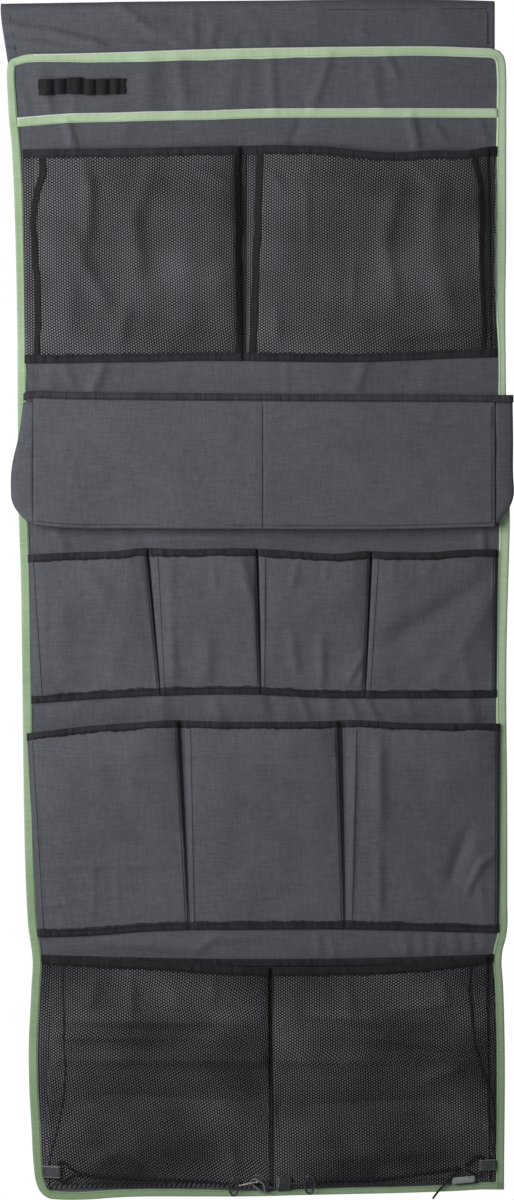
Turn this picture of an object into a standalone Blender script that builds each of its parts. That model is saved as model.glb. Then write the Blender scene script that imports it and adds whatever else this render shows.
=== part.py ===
"""Hanging tent organizer: a tall cloth panel with five rows of pockets under a pole sleeve.

The pieces are cut flat and described in the flat cloth's own measures: x across from the middle, s out from
the panel's face and z up. One function, hung, then puts every point where the cloth hangs. Units are metres,
+Z is up, the front faces -Y, and the origin is the middle of the pole sleeve.
"""
import math

import bmesh
import bpy
import numpy as np
from mathutils import Matrix, Vector

# Clearance between pieces that touch
GAP = 0.0003

# Cloth, tape and webbing
CLOTH = 0.0010
TAPE = 0.0007
PANEL_THICKNESS = 0.0016
HOOK_TAPE = 0.0015
BINDING_WIDTH = 0.0110
TAPE_WIDTH = 0.0088
WEBBING_WIDTH = 0.0150
WEBBING = 0.0012

# The panel as it hangs: it narrows and leans a little towards the hem
PANEL_WIDTH = 0.5745
HEM_WIDTH = 0.5515
LEAN = 0.0080
SLANT = 0.0035
BOW_TOP = 0.0040
BOW_HEM = -0.0035
CORNER_TOP = 0.0200
CORNER_HEM = 0.0150

# Heights down the panel, from its top edge to its hem
BAND_HEIGHT = 0.0716
SPACE_ABOVE_MESH = 0.0335
MESH_HEIGHT = 0.2510
SPACE_ABOVE_TRAY = 0.0410
TRAY_HEIGHT = 0.1570
SPACE_ABOVE_SMALL = 0.0240
SMALL_HEIGHT = 0.1695
SPACE_ABOVE_TALL = 0.0305
TALL_HEIGHT = 0.2450
SPACE_ABOVE_LOWER = 0.0340
LOWER_HEIGHT = 0.2690

# Pockets of each row, left to right. The last pocket of a row takes the width that is left
MESH_MOUTHS = (0.2530,)
MESH_BASES = (0.2630,)
MESH_PLEAT = (0.0290, 0.0030)
SMALL_MOUTHS = (0.1370, 0.1265, 0.1275)
SMALL_BASES = (0.1520, 0.1150, 0.1195)
SMALL_PLEAT = (0.0075, 0.0042)
TALL_MOUTHS = (0.1780, 0.1850)
TALL_BASES = (0.1810, 0.1825)
TALL_PLEAT = (0.0130, 0.0060)
LOWER_MOUTHS = (0.2765,)
LOWER_BASES = (0.2790,)
LOWER_PLEAT = (0.0040, 0.0040)
MARGIN = 0.0008
BELLY_MESH = 0.0140
BELLY_SMALL = 0.0110
BELLY_TALL = 0.0125
BELLY_LOWER = 0.0140
RIM = 0.0300

# Stiff tray: its front stands on a board and slides out as the gussets unfold
TRAY_LEFT = -0.2765
TRAY_WIDTH = 0.5505
TRAY_DEPTH = 0.0130
TRAY_BOARD = 0.0015
TRAY_LINING = 0.0008
TRAY_CORNER_TAIL = 0.0215
GUSSET_OUT = 0.0220
FLOOR_RISE = 0.0180
DIVIDER_AT = 0.0040
DIVIDER = 0.0010

# Elastic pen loops on the band, from left to right
PEN_LEFT = -0.2615
PEN_DROP = 0.0300
PEN_HEIGHT = 0.0210
PEN_LOOPS = (0.0175, 0.0146, 0.0199, 0.0147, 0.0159, 0.0119)
PEN_END = 0.0072
PEN_BELLY = 0.0068
ELASTIC = 0.0011

# Pole sleeve: the head cloth runs up, over and down behind, where hook tape closes it
SLEEVE_DEPTH = 0.0180
SLEEVE_TOP = 0.0280
HEAD_RISE = 0.0534
HEAD_LEFT = 0.3045
HEAD_LEFT_BOTTOM = 0.2860
HEAD_RIGHT = 0.2740
HEAD_OVERLAP = 0.0340
CLOSURE_WIDTH = 0.0250
CLOSURE_END = 0.0120
HINGE_BEHIND = 0.0005
HINGE_BELOW = 0.0010

# Elastic cords, tabs and hooks along the hem. Rings and tab roots are (across from the lower seam, up from the hem)
CORD = 0.0024
TAIL = 0.0020
CORD_END_GAP = 0.0004
TAB_LENGTH = 0.0228
TAB_RISE = 0.0180
TAB_SEAT = 0.0029
TAB_STAND = 0.0072
KNOT_AWAY = 0.0245
KNOT_SIZE = (0.0032, 0.0026, 0.0028)
HOOK_WIRE = 0.0024
RING_WIDTH = 0.0130
RING_HEIGHT = 0.0230
HOOK_STAND = 0.0095
CENTER_SEAT = 0.0030
LEFT_RING = (-0.0455, 0.0104)
RIGHT_RING = (0.0431, 0.0128)
LEFT_ROOT = (-0.0068, 0.0090)
LEFT_REACH = (-0.0112, 0.0114)
RIGHT_ROOT = (0.0117, 0.0080)
RIGHT_REACH = (0.0, 0.0122)
LABEL = (0.2250, 0.0280, 0.0080)

# The loop through a corner tab, from the tab's eye: (towards the middle, out, up)
LOOP_ROUTE = [
    (0.0203, 0.0002, 0.0015), (0.0134, 0.0001, 0.0064), (0.0066, 0.0, 0.0112), (0.0018, 0.0, 0.0112),
    (-0.0002, 0.0, 0.0075), (0.0, 0.0, 0.0), (-0.0002, 0.0, -0.0075), (0.0018, 0.0, -0.0112),
    (0.0066, 0.0, -0.0112), (0.0134, 0.0001, -0.0064), (0.0203, 0.0002, -0.0015),
]
# The cords along the hem: (share of the way from knot to ring, out from the panel, up from the hem)
LEFT_CORD_ROUTE = [
    (0, 0.0074, 0.0283), (0.041, 0.0070, 0.0263), (0.086, 0.0062, 0.0225), (0.158, 0.0054, 0.0182),
    (0.224, 0.0048, 0.0163), (0.339, 0.0045, 0.0155), (0.464, 0.0043, 0.0152), (0.603, 0.0043, 0.0149),
    (0.738, 0.0044, 0.0148), (0.848, 0.0050, 0.0147), (0.930, 0.0066, 0.0141), (1, 0.0094, 0.0120),
]
RIGHT_CORD_ROUTE = [
    (0, 0.0074, 0.0290), (0.044, 0.0070, 0.0272), (0.099, 0.0062, 0.0245), (0.189, 0.0054, 0.0220),
    (0.288, 0.0049, 0.0202), (0.389, 0.0047, 0.0190), (0.534, 0.0045, 0.0175), (0.677, 0.0045, 0.0164),
    (0.799, 0.0050, 0.0157), (0.894, 0.0064, 0.0151), (1, 0.0094, 0.0140),
]
# The loose end under the right knot, from the knot's middle: (across, out, up)
TAIL_ROUTE = [
    (-0.0002, 0.0, -0.0033), (-0.0018, 0.0, -0.0065), (-0.0068, -0.0004, -0.0098), (-0.0158, -0.0016, -0.0128),
    (-0.0221, -0.0024, -0.0172), (-0.0283, -0.0028, -0.0248), (-0.0350, -0.0030, -0.0326),
]

# Sampling of long edges
PITCH = 0.062

DARK_CLOTH = (0.105, 0.112, 0.125)
BLACK_TAPE = (0.018, 0.017, 0.019)
BLACK_MESH = (0.020, 0.020, 0.023)
GREEN_TAPE = (0.370, 0.560, 0.330)
GREY_WEBBING = (0.110, 0.115, 0.120)
STEEL = (0.550, 0.560, 0.570)

# Worked out from the values above
PANEL_BACK = -(SLEEVE_DEPTH / 2 + CLOTH + TAPE + 2 * GAP)
PANEL_FACE = PANEL_BACK - PANEL_THICKNESS
PANEL_TOP = SLEEVE_TOP - HEAD_RISE
BAR_TOP = PANEL_TOP - BAND_HEIGHT
MESH_TOP = BAR_TOP - BINDING_WIDTH - SPACE_ABOVE_MESH
TRAY_TOP = MESH_TOP - MESH_HEIGHT - SPACE_ABOVE_TRAY
SMALL_TOP = TRAY_TOP - TRAY_HEIGHT - SPACE_ABOVE_SMALL
TALL_TOP = SMALL_TOP - SMALL_HEIGHT - SPACE_ABOVE_TALL
LOWER_TOP = TALL_TOP - TALL_HEIGHT - SPACE_ABOVE_LOWER
HEM_TOP = LOWER_TOP - LOWER_HEIGHT
PANEL_HEM = HEM_TOP - BINDING_WIDTH
PANEL_HEIGHT = PANEL_TOP - PANEL_HEM
INNER_EDGE = PANEL_WIDTH / 2 - BINDING_WIDTH - MARGIN

# Layers of a pocket in front of the panel: tape's back leg, cloth, tape's front leg
TAPE_BACK = GAP
SHEET_BACK = 2 * GAP + TAPE
SHEET_FRONT = SHEET_BACK + CLOTH
TAPE_FRONT = SHEET_FRONT + GAP


def lerp(a, b, t):
    return a + (b - a) * t


def hung(x, s, z, stiff=False):
    """Where a point of the flat cloth hangs. A stiff piece keeps its straight rows."""
    fall = (PANEL_TOP - z) / PANEL_HEIGHT
    across = x * lerp(1, HEM_WIDTH / PANEL_WIDTH, fall) + LEAN * fall
    share = x / (PANEL_WIDTH / 2)
    droop = SLANT * share - lerp(BOW_TOP, BOW_HEM, fall ** 3) * share ** 2
    return (across, PANEL_FACE - s, z + (0 if stiff else droop))


def finish(obj, name, colour, roughness=0.85, metallic=0.0):
    """Names a piece, gives it its own material and puts it with the organizer's parts."""
    obj.name = name
    obj.data.name = name
    paint = bpy.data.materials.new(name)
    paint.use_nodes = True
    shader = paint.node_tree.nodes["Principled BSDF"]
    shader.inputs["Base Color"].default_value = (*colour, 1)
    shader.inputs["Roughness"].default_value = roughness
    shader.inputs["Metallic"].default_value = metallic
    obj.data.materials.append(paint)
    for home in list(obj.users_collection):
        home.objects.unlink(obj)
    PARTS.objects.link(obj)
    return obj


def sheet(name, columns, rows, place, colour):
    """A closed sheet: a grid extruded to two layers, whose corners go where place(column, row, layer) says."""
    shape = bmesh.new()
    across, up = len(columns) - 1, len(rows) - 1
    bmesh.ops.create_grid(shape, x_segments=across, y_segments=up, size=0.5)
    made = bmesh.ops.extrude_face_region(shape, geom=shape.faces[:])
    outer = {corner for corner in made["geom"] if isinstance(corner, bmesh.types.BMVert)}
    for corner in shape.verts:
        i = round((corner.co.x + 0.5) * across)
        j = round((corner.co.y + 0.5) * up)
        corner.co = place(columns[i], rows[j], int(corner in outer))
    bmesh.ops.recalc_face_normals(shape, faces=shape.faces)
    if shape.calc_volume(signed=True) < 0:
        bmesh.ops.reverse_faces(shape, faces=shape.faces)
    mesh = bpy.data.meshes.new(name)
    shape.to_mesh(mesh)
    shape.free()
    obj = bpy.data.objects.new(name, mesh)
    return finish(obj, name, colour)


def smooth_route(points, step):
    """Points every step or so along one smooth curve through the route's own points."""
    points = [Vector(p) for p in points]
    ends = [2 * points[0] - points[1], *points, 2 * points[-1] - points[-2]]
    found = []
    for a, b, c, d in zip(ends, ends[1:], ends[2:], ends[3:]):
        count = max(1, round((c - b).length / step))
        for t in np.arange(count) / count:
            near = b + (c - a) * (t / 2)
            bend = (2 * a - 5 * b + 4 * c - d) * (t * t / 2)
            twist = (3 * b - a - 3 * c + d) * (t ** 3 / 2)
            found.append(near + bend + twist)
    return found + [points[-1]]


def tube(name, points, diameter, colour, roughness=0.8, metallic=0.0):
    """A cord or wire: a bevelled curve with filled ends."""
    line = bpy.data.curves.new(name, "CURVE")
    line.dimensions = "3D"
    line.bevel_depth = diameter / 2
    line.bevel_resolution = 2
    line.use_fill_caps = True
    run = line.splines.new("POLY")
    run.points.add(len(points) - 1)
    for knot, place in zip(run.points, points):
        knot.co = (*place, 1)
    return finish(bpy.data.objects.new(name, line), name, colour, roughness, metallic)


def pivot(name, place, names):
    """An empty on a joint's axis, which carries the pieces that move on it."""
    empty = bpy.data.objects.new(name, None)
    empty.location = place
    empty.empty_display_size = 0.02
    PARTS.objects.link(empty)
    for child in names:
        PARTS.objects[child].parent = empty
        PARTS.objects[child].matrix_parent_inverse = Matrix.Translation(place).inverted()


# The panel and the green tape round its edge


def corner_arc(x, z, radius, start):
    """A quarter turn of the edge round (x, z), clockwise from start degrees: place and outward direction."""
    turn = [math.radians(start - 90 * k / 4) for k in range(5)]
    return [(x + radius * math.cos(a), z + radius * math.sin(a), math.cos(a), math.sin(a)) for a in turn]


def straight(x0, z0, x1, z1, nx, nz):
    """Stations along a straight stretch of the edge, without its ends."""
    count = max(2, round(math.hypot(x1 - x0, z1 - z0) / PITCH))
    return [(lerp(x0, x1, k / count), lerp(z0, z1, k / count), nx, nz) for k in range(1, count)]


def edge_stations():
    """The panel's outer edge from the right end of the hem, round the left side and the top, and down."""
    side = PANEL_WIDTH / 2
    lap = side - BINDING_WIDTH - GAP
    left_low, top_low = -side + CORNER_HEM, PANEL_TOP - CORNER_TOP
    path = [(lap, PANEL_HEM, 0, -1)]
    path += straight(lap, PANEL_HEM, left_low, PANEL_HEM, 0, -1)
    path += corner_arc(left_low, PANEL_HEM + CORNER_HEM, CORNER_HEM, 270)
    path += straight(-side, PANEL_HEM + CORNER_HEM, -side, top_low, -1, 0)
    path += corner_arc(-side + CORNER_TOP, top_low, CORNER_TOP, 180)
    path += straight(-side + CORNER_TOP, PANEL_TOP, side - CORNER_TOP, PANEL_TOP, 0, 1)
    path += corner_arc(side - CORNER_TOP, top_low, CORNER_TOP, 90)
    path += straight(side, top_low, side, PANEL_HEM, 1, 0)
    return path + [(side, PANEL_HEM, 1, 0)]


def back_panel():
    """The backing cloth: its hung outline as a flat filled curve."""
    inset = TAPE + GAP
    outline = [(x - inset * nx, z - inset * nz) for x, z, nx, nz in edge_stations()]
    square_end = outline[-1][0]
    outline[-1] = (square_end, PANEL_HEM + inset)
    line = bpy.data.curves.new("back_panel", "CURVE")
    line.dimensions = "2D"
    line.fill_mode = "BOTH"
    line.extrude = PANEL_THICKNESS / 2
    run = line.splines.new("POLY")
    run.points.add(len(outline) - 1)
    run.use_cyclic_u = True
    for knot, (x, z) in zip(run.points, outline):
        across, _, up = hung(x, 0, z)
        knot.co = (across, up, 0, 1)
    panel = finish(bpy.data.objects.new("back_panel", line), "back_panel", DARK_CLOTH)
    panel.rotation_euler = (math.pi / 2, 0, 0)
    panel.location = (0, PANEL_FACE + PANEL_THICKNESS / 2, 0)


def edge_binding():
    """Green tape folded over the panel's edge, in one length with a lapped square end at the lower right."""
    front, back = GAP, -PANEL_THICKNESS - GAP
    outer = [(BINDING_WIDTH, front + TAPE), (0, front + TAPE), (0, back - TAPE), (BINDING_WIDTH, back - TAPE)]
    inner = [(BINDING_WIDTH, front), (TAPE, front), (TAPE, back), (BINDING_WIDTH, back)]

    def place(station, k, layer):
        x, z, nx, nz = station
        inward, s = (inner, outer)[layer][k]
        return hung(x - inward * nx, s, z - inward * nz)

    sheet("edge_binding", edge_stations(), range(4), place, GREEN_TAPE)


def header_bar():
    """The second green tape, across the panel under the band."""
    half = PANEL_WIDTH / 2 - BINDING_WIDTH - GAP
    columns = np.linspace(-half, half, 11)

    def place(x, z, layer):
        return hung(x, GAP + TAPE * layer, z)

    sheet("header_bar", columns, (BAR_TOP - BINDING_WIDTH, BAR_TOP), place, GREEN_TAPE)


def pen_loops():
    """A strip of elastic tacked down between pens, so that it stands up in a loop for each."""
    columns, x = [(PEN_LEFT - 0.001, 0)], PEN_LEFT
    for width in PEN_LOOPS:
        columns += [(x + width * t, math.sin(math.pi * t) ** 0.8) for t in (0, 0.12, 0.3, 0.5, 0.7, 0.88)]
        x += width
    columns += [(x, 0), (x + PEN_END, 0)]
    top = PANEL_TOP - PEN_DROP

    def place(column, z, layer):
        return hung(column[0], GAP + PEN_BELLY * column[1] + ELASTIC * layer, z)

    sheet("pen_loops", columns, (top - PEN_HEIGHT, top), place, BLACK_TAPE)


# Patch pockets


class Row:
    """One row of sewn pockets. u runs across a pocket and v up it, both from 0 to 1."""

    def __init__(self, top, height, mouths, bases, pleat, belly, fullness):
        self.top, self.height = top, height
        self.belly, self.fullness = belly, fullness
        self.mouths = self.spans(mouths, pleat[0])
        self.bases = self.spans(bases, pleat[1])

    def spans(self, widths, pleat):
        """Left and right end of each pocket, with a pleat's width between neighbours."""
        ends, x = [], -INNER_EDGE
        for width in widths:
            ends.append((x, x + width))
            x += width + pleat
        return ends + [(x, INNER_EDGE)]

    def stations(self, pocket):
        """Values of u: close together on the rising sides, and a pitch apart on the face."""
        left, right = self.mouths[pocket]
        rim = RIM / (right - left)
        count = max(2, round((right - left - 2 * RIM) / PITCH))
        face = [lerp(rim, 1 - rim, k / count) for k in range(1, count)]
        return [0, rim * 0.33, rim, *face, 1 - rim, 1 - rim * 0.33, 1]

    def point(self, pocket, u, z, stand):
        """The hung place of a point of a pocket, stand metres in front of its hollow."""
        v = (z - self.top + self.height) / self.height
        left, right = (lerp(self.bases[pocket][k], self.mouths[pocket][k], v) for k in (0, 1))
        rim = RIM / (self.mouths[pocket][1] - self.mouths[pocket][0])
        side = math.sin(math.pi / 2 * min(1, u / rim, (1 - u) / rim))
        rise = math.sin(math.pi / 2 * min(1, max(0, v))) ** self.fullness
        return hung(lerp(left, right, u), stand + self.belly * side * rise, z)


def pocket_front(row, pocket, name, colour, foot):
    """The cloth or mesh of one pocket, from foot above the row's lower edge to its taped mouth."""
    low = row.top - row.height + foot
    high = row.top - TAPE - GAP
    lap = TAPE_WIDTH
    rows = [low, low + lap, *(lerp(low + lap, high - lap, t) for t in (0.25, 0.5, 0.75)), high - lap, high]

    def place(u, z, layer):
        return row.point(pocket, u, z, SHEET_BACK + CLOTH * layer)

    sheet(name, row.stations(pocket), rows, place, colour)


def folded_tape(row, name, edge, fold):
    """Black tape folded over a row's cloth: fold is 1 with the fold on top and -1 with it below."""
    columns = [(p, u) for p in range(len(row.mouths)) for u in row.stations(p)]
    leg = edge - fold * TAPE_WIDTH
    outer = [(leg, TAPE_FRONT + TAPE), (edge, TAPE_FRONT + TAPE), (edge, TAPE_BACK), (leg, TAPE_BACK)]
    under = edge - fold * TAPE
    inner = [(leg, TAPE_FRONT), (under, TAPE_FRONT), (under, SHEET_BACK - GAP), (leg, SHEET_BACK - GAP)]

    def place(column, k, layer):
        z, stand = (inner, outer)[layer][k]
        return row.point(*column, z, stand)

    sheet(name, columns, range(4), place, BLACK_TAPE)


def pocket_rows():
    """All patch pockets with their tapes. Returns the lowest row, for what lies over it."""
    foot = TAPE + GAP
    mesh = Row(MESH_TOP, MESH_HEIGHT, MESH_MOUTHS, MESH_BASES, MESH_PLEAT, BELLY_MESH, 0.8)
    for pocket, side in enumerate(("left", "right")):
        pocket_front(mesh, pocket, f"mesh_pocket_{side}", BLACK_MESH, foot)
    small = Row(SMALL_TOP, SMALL_HEIGHT, SMALL_MOUTHS, SMALL_BASES, SMALL_PLEAT, BELLY_SMALL, 0.9)
    for pocket in range(4):
        pocket_front(small, pocket, f"small_pocket_{pocket + 1}", DARK_CLOTH, foot)
    tall = Row(TALL_TOP, TALL_HEIGHT, TALL_MOUTHS, TALL_BASES, TALL_PLEAT, BELLY_TALL, 0.9)
    for pocket in range(3):
        pocket_front(tall, pocket, f"tall_pocket_{pocket + 1}", DARK_CLOTH, foot)
    for row, name in ((mesh, "mesh"), (small, "small"), (tall, "tall")):
        folded_tape(row, f"{name}_mouth_tape", row.top, 1)
        folded_tape(row, f"{name}_foot_tape", row.top - row.height, -1)
    lower = Row(LOWER_TOP, LOWER_HEIGHT, LOWER_MOUTHS, LOWER_BASES, LOWER_PLEAT, BELLY_LOWER, 1.3)
    for pocket, side in enumerate(("left", "right")):
        pocket_front(lower, pocket, f"lower_mesh_{side}", BLACK_MESH, GAP)
    folded_tape(lower, "lower_mouth_elastic", lower.top, 1)
    return lower


def lower_seam(lower):
    """The tape that sews the two lower mesh pockets to the panel between them."""
    half = LOWER_PLEAT[0] / 2 - GAP
    middle = (lower.mouths[0][1] + lower.mouths[1][0]) / 2
    base = (lower.bases[0][1] + lower.bases[1][0]) / 2
    low, high = HEM_TOP + GAP, LOWER_TOP - TAPE_WIDTH - GAP

    def place(side, t, layer):
        x = lerp(base, middle, t) + side * half
        return hung(x, GAP + SHEET_FRONT * layer, lerp(low, high, t))

    sheet("lower_center_seam", (-1, 1), (0, 0.25, 0.5, 0.75, 1), place, BLACK_TAPE)


# The stiff tray


def tray():
    """Front, board and lining move as one. The gussets, floor and divider fold between them and the panel."""
    right = TRAY_LEFT + TRAY_WIDTH
    high = TRAY_TOP - TAPE - GAP
    low = TRAY_TOP - TRAY_HEIGHT
    lining = TRAY_DEPTH
    board = lining + TRAY_LINING + GAP
    front = board + TRAY_BOARD + GAP
    layers = [
        ("tray_front", TRAY_LEFT, right, low, high, front, CLOTH, DARK_CLOTH),
        ("tray_board", TRAY_LEFT + 0.003, right - 0.003, low + 0.003, high - TAPE_WIDTH, board, TRAY_BOARD,
         (0.6, 0.6, 0.58)),
        ("tray_lining", TRAY_LEFT, right, low, high, lining, TRAY_LINING, DARK_CLOTH),
    ]
    for name, x0, x1, z0, z1, s, thick, colour in layers:
        def place(x, z, layer, s=s, thick=thick):
            return hung(x, s + thick * layer, z, stiff=True)

        sheet(name, np.linspace(x0, x1, 9), (z0, lerp(z0, z1, 0.5), z1), place, colour)
    tray_mouth_tape(lining, front + CLOTH, right)
    moving = [layer[0] for layer in layers] + ["tray_mouth_tape"]
    pivot("tray_slide", hung(lerp(TRAY_LEFT, right, 0.5), board, lerp(low, high, 0.5)), moving)
    tray_gussets(front + CLOTH, right, low)
    tray_floor(lining, low)
    tray_divider(lining, low)


def tray_mouth_tape(back, front, right):
    """Black tape over the tray's mouth, with a short tail over each gusset."""
    columns = np.linspace(TRAY_LEFT - 0.007, right + TRAY_CORNER_TAIL, 11)
    leg = TRAY_TOP - TAPE_WIDTH
    outer = [(leg, front + GAP + TAPE), (TRAY_TOP, front + GAP + TAPE), (TRAY_TOP, back - GAP - TAPE),
             (leg, back - GAP - TAPE)]
    inner = [(leg, front + GAP), (TRAY_TOP - TAPE, front + GAP), (TRAY_TOP - TAPE, back - GAP), (leg, back - GAP)]

    def place(x, k, layer):
        z, s = (inner, outer)[layer][k]
        return hung(x, s, z, stiff=True)

    sheet("tray_mouth_tape", columns, range(4), place, BLACK_TAPE)


def tray_gussets(front, right, low):
    """Side walls folded outwards in a V, fullest below the middle."""
    high = TRAY_TOP - TAPE_WIDTH - GAP
    back = 3 * GAP + TAPE
    middle = (front + back) / 2
    outlines = {
        "left": [(0, 0.35), (0.12, 0.66), (0.24, 0.98), (0.42, 1.0), (0.68, 0.66), (1, 0.30)],
        "right": [(0, 0.25), (0.10, 0.66), (0.22, 0.97), (0.5, 0.97), (0.8, 0.95), (1, 0.92)],
    }
    for side, sign, seam in (("left", -1, TRAY_LEFT), ("right", 1, right)):
        def place(column, row, layer, sign=sign, seam=seam):
            share, bulge = row
            out = GAP + GUSSET_OUT * bulge
            deep = CLOTH * (1 - layer)
            reach, s = [
                (GAP, front - deep), (out * 0.5, front - 0.25 * (front - middle) - deep),
                (out - 3 * deep, middle), (out * 0.5, back + 0.25 * (middle - back) + deep), (GAP, back + deep),
            ][column]
            return hung(seam + sign * reach, s, lerp(low, high, share), stiff=True)

        sheet(f"tray_gusset_{side}", range(5), outlines[side], place, DARK_CLOTH)


def tray_floor(front, low):
    """The floor, folded up inside the tray while the front stands close to the panel."""
    left, right = TRAY_LEFT + 0.002, TRAY_LEFT + TRAY_WIDTH - 0.002
    back = 2 * GAP
    middle = (front + back) / 2

    def place(x, k, layer):
        deep = CLOTH * layer
        s, z = [(front - GAP - deep, low), (front - GAP - 1.5 * deep, low + FLOOR_RISE * 0.5),
                (middle, low + FLOOR_RISE - 3 * deep), (back + 1.5 * deep, low + FLOOR_RISE * 0.5),
                (back + deep, low)][k]
        return hung(x, s, z, stiff=True)

    sheet("tray_floor", np.linspace(left, right, 9), range(5), place, DARK_CLOTH)


def tray_divider(front, low):
    """The upright cloth that parts the tray in two."""
    bottom, top = low + FLOOR_RISE + GAP, TRAY_TOP - TAPE_WIDTH - GAP

    def place(s, z, layer):
        return hung(DIVIDER_AT + DIVIDER * (layer - 0.5), s, z, stiff=True)

    sheet("tray_divider", (2 * GAP, front - GAP), (bottom, top), place, DARK_CLOTH)


# Pole sleeve


def head_side(z):
    """Left and right end of the head cloth at a height: the left end flares out towards the top."""
    low = PANEL_TOP - BINDING_WIDTH
    share = min(1, max(0, (z - low) / (SLEEVE_TOP - low)))
    return (-lerp(HEAD_LEFT_BOTTOM, HEAD_LEFT, share), HEAD_RIGHT)


def head_sheet(name, profile, colour):
    """A sheet across the head with this profile of (front y, front z, back y, back z) points."""
    def place(u, k, layer):
        y, z = profile[k][2 * layer: 2 * layer + 2]
        left, right = head_side(z)
        return (lerp(left, right, u), y, z)

    return sheet(name, np.linspace(0, 1, 9), range(len(profile)), place, colour)


def pole_sleeve():
    """Head cloth with its roll, the flap that hangs behind it and the closure between them."""
    inside = SLEEVE_DEPTH / 2
    outside = inside + CLOTH
    roll = SLEEVE_TOP - outside
    low = PANEL_TOP - HEAD_OVERLAP
    turns = [math.pi * (1 - k / 8) for k in range(9)]
    over = [(outside * math.cos(a), roll + outside * math.sin(a), inside * math.cos(a), roll + inside * math.sin(a))
            for a in turns]
    rise = [(-outside, z, -inside, z) for z in (low, lerp(low, roll, 0.5))]
    head_sheet("header_front", rise + over, DARK_CLOTH)

    closed = -inside + 3 * GAP + 2 * HOOK_TAPE
    closure_top = low + CLOSURE_WIDTH
    hinge = roll - GAP
    flap = [(outside, hinge, inside, hinge), (outside - 0.001, hinge * 0.3, inside - 0.001, hinge * 0.3),
            (closed + CLOTH, closure_top, closed, closure_top), (closed + CLOTH, low, closed, low)]
    head_sheet("header_flap", flap, DARK_CLOTH)
    for name, y in (("loop_tape", -inside + GAP), ("hook_tape", -inside + 2 * GAP + HOOK_TAPE)):
        def place(x, z, layer, y=y):
            return (x, y + HOOK_TAPE * layer, z)

        ends = np.linspace(-HEAD_LEFT_BOTTOM + CLOSURE_END, HEAD_RIGHT - CLOSURE_END, 5)
        sheet(name, ends, (low + 0.001, closure_top - 0.001), place, BLACK_TAPE)
    pivot("flap_hinge", (0, outside + HINGE_BEHIND, roll - HINGE_BELOW), ["header_flap", "hook_tape"])


# Cords, tabs and hooks


def by_hem(x, s, h):
    """A place along the hem: across, out from the panel's face and up from the hem's lower edge."""
    return (x, PANEL_FACE - s, PANEL_HEM + h)


def tab_eye(root, reach, length):
    """Where the middle of a tab's fold is, in the plane of the panel."""
    share = (length - HOOK_WIRE / 2 - 3 * GAP - WEBBING) / length
    return (root[0] + reach[0] * share, root[1] + reach[1] * share)


def teardrop_tab(name, put, root, reach, seat, stand):
    """Webbing folded into a loop: sewn flat at its root, and open at its fold for a cord or a hook.

    root is the middle of the sewn end and reach leads from there to the fold. seat is how far the sewn end
    stands in front of the panel and stand how far the middle of the fold does. put(x, s, z) places a point.
    """
    length = math.hypot(*reach)
    ahead = (reach[0] / length, reach[1] / length)
    aside = (-ahead[1], ahead[0])
    eye = HOOK_WIRE / 2 + 3 * GAP
    outer, inner = [], []
    for k in range(7):
        turn = math.pi * (k / 6 - 0.5)
        for ring, radius in ((outer, eye + WEBBING), (inner, eye)):
            ring.append((length - eye - WEBBING + radius * math.cos(turn), stand + radius * math.sin(turn)))
    outer = [(0, seat), *outer, (0, seat + 2 * WEBBING + GAP)]
    inner = [(0, seat + WEBBING), *inner, (0, seat + WEBBING + GAP)]

    def place(side, k, layer):
        along, s = (inner, outer)[layer][k]
        x = root[0] + ahead[0] * along + aside[0] * side * WEBBING_WIDTH / 2
        z = root[1] + ahead[1] * along + aside[1] * side * WEBBING_WIDTH / 2
        return put(x, s, z)

    sheet(name, (-1, 1), range(9), place, GREY_WEBBING)


def knot(name, center):
    """A tight overhand knot, as a small egg."""
    shape = bmesh.new()
    bmesh.ops.create_uvsphere(shape, u_segments=12, v_segments=8, radius=1)
    for corner in shape.verts:
        corner.co = [c + r * w for c, r, w in zip(center, KNOT_SIZE, corner.co)]
    mesh = bpy.data.meshes.new(name)
    shape.to_mesh(mesh)
    shape.free()
    finish(bpy.data.objects.new(name, mesh), name, BLACK_TAPE)


def corner_cord(side, sign, route, ring):
    """A corner's tab, the cord's loop through it, its knot, and the cord from there to the ring.

    Returns the knot's place along the hem.
    """
    root = (sign * INNER_EDGE, HEM_TOP + TAB_RISE)
    reach = (-sign * TAB_LENGTH, 0)
    teardrop_tab(f"corner_tab_{side}", hung, root, reach, TAB_SEAT, TAB_STAND)
    x, z = tab_eye(root, reach, TAB_LENGTH)
    eye = hung(x, TAB_STAND, z)
    tied = (eye[0] - sign * KNOT_AWAY, *route[0][1:])
    center = by_hem(*tied)
    knot(f"cord_knot_{side}", center)
    drop = (eye[2] - center[2]) / KNOT_AWAY
    loop = [(eye[0] - sign * dx, eye[1] - ds, eye[2] + dz - drop * max(0, dx)) for dx, ds, dz in LOOP_ROUTE]
    tube(f"tab_loop_{side}", smooth_route(loop, 2.2 * CORD), CORD, BLACK_TAPE)
    start = tied[0] - sign * (KNOT_SIZE[0] + CORD_END_GAP)
    end = ring + sign * (RING_WIDTH / 2 + CORD_END_GAP)
    cord = [by_hem(lerp(start, end, share), s, h) for share, s, h in route]
    tube(f"elastic_cord_{side}", smooth_route(cord, 3 * CORD), CORD, BLACK_TAPE)
    return tied


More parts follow.
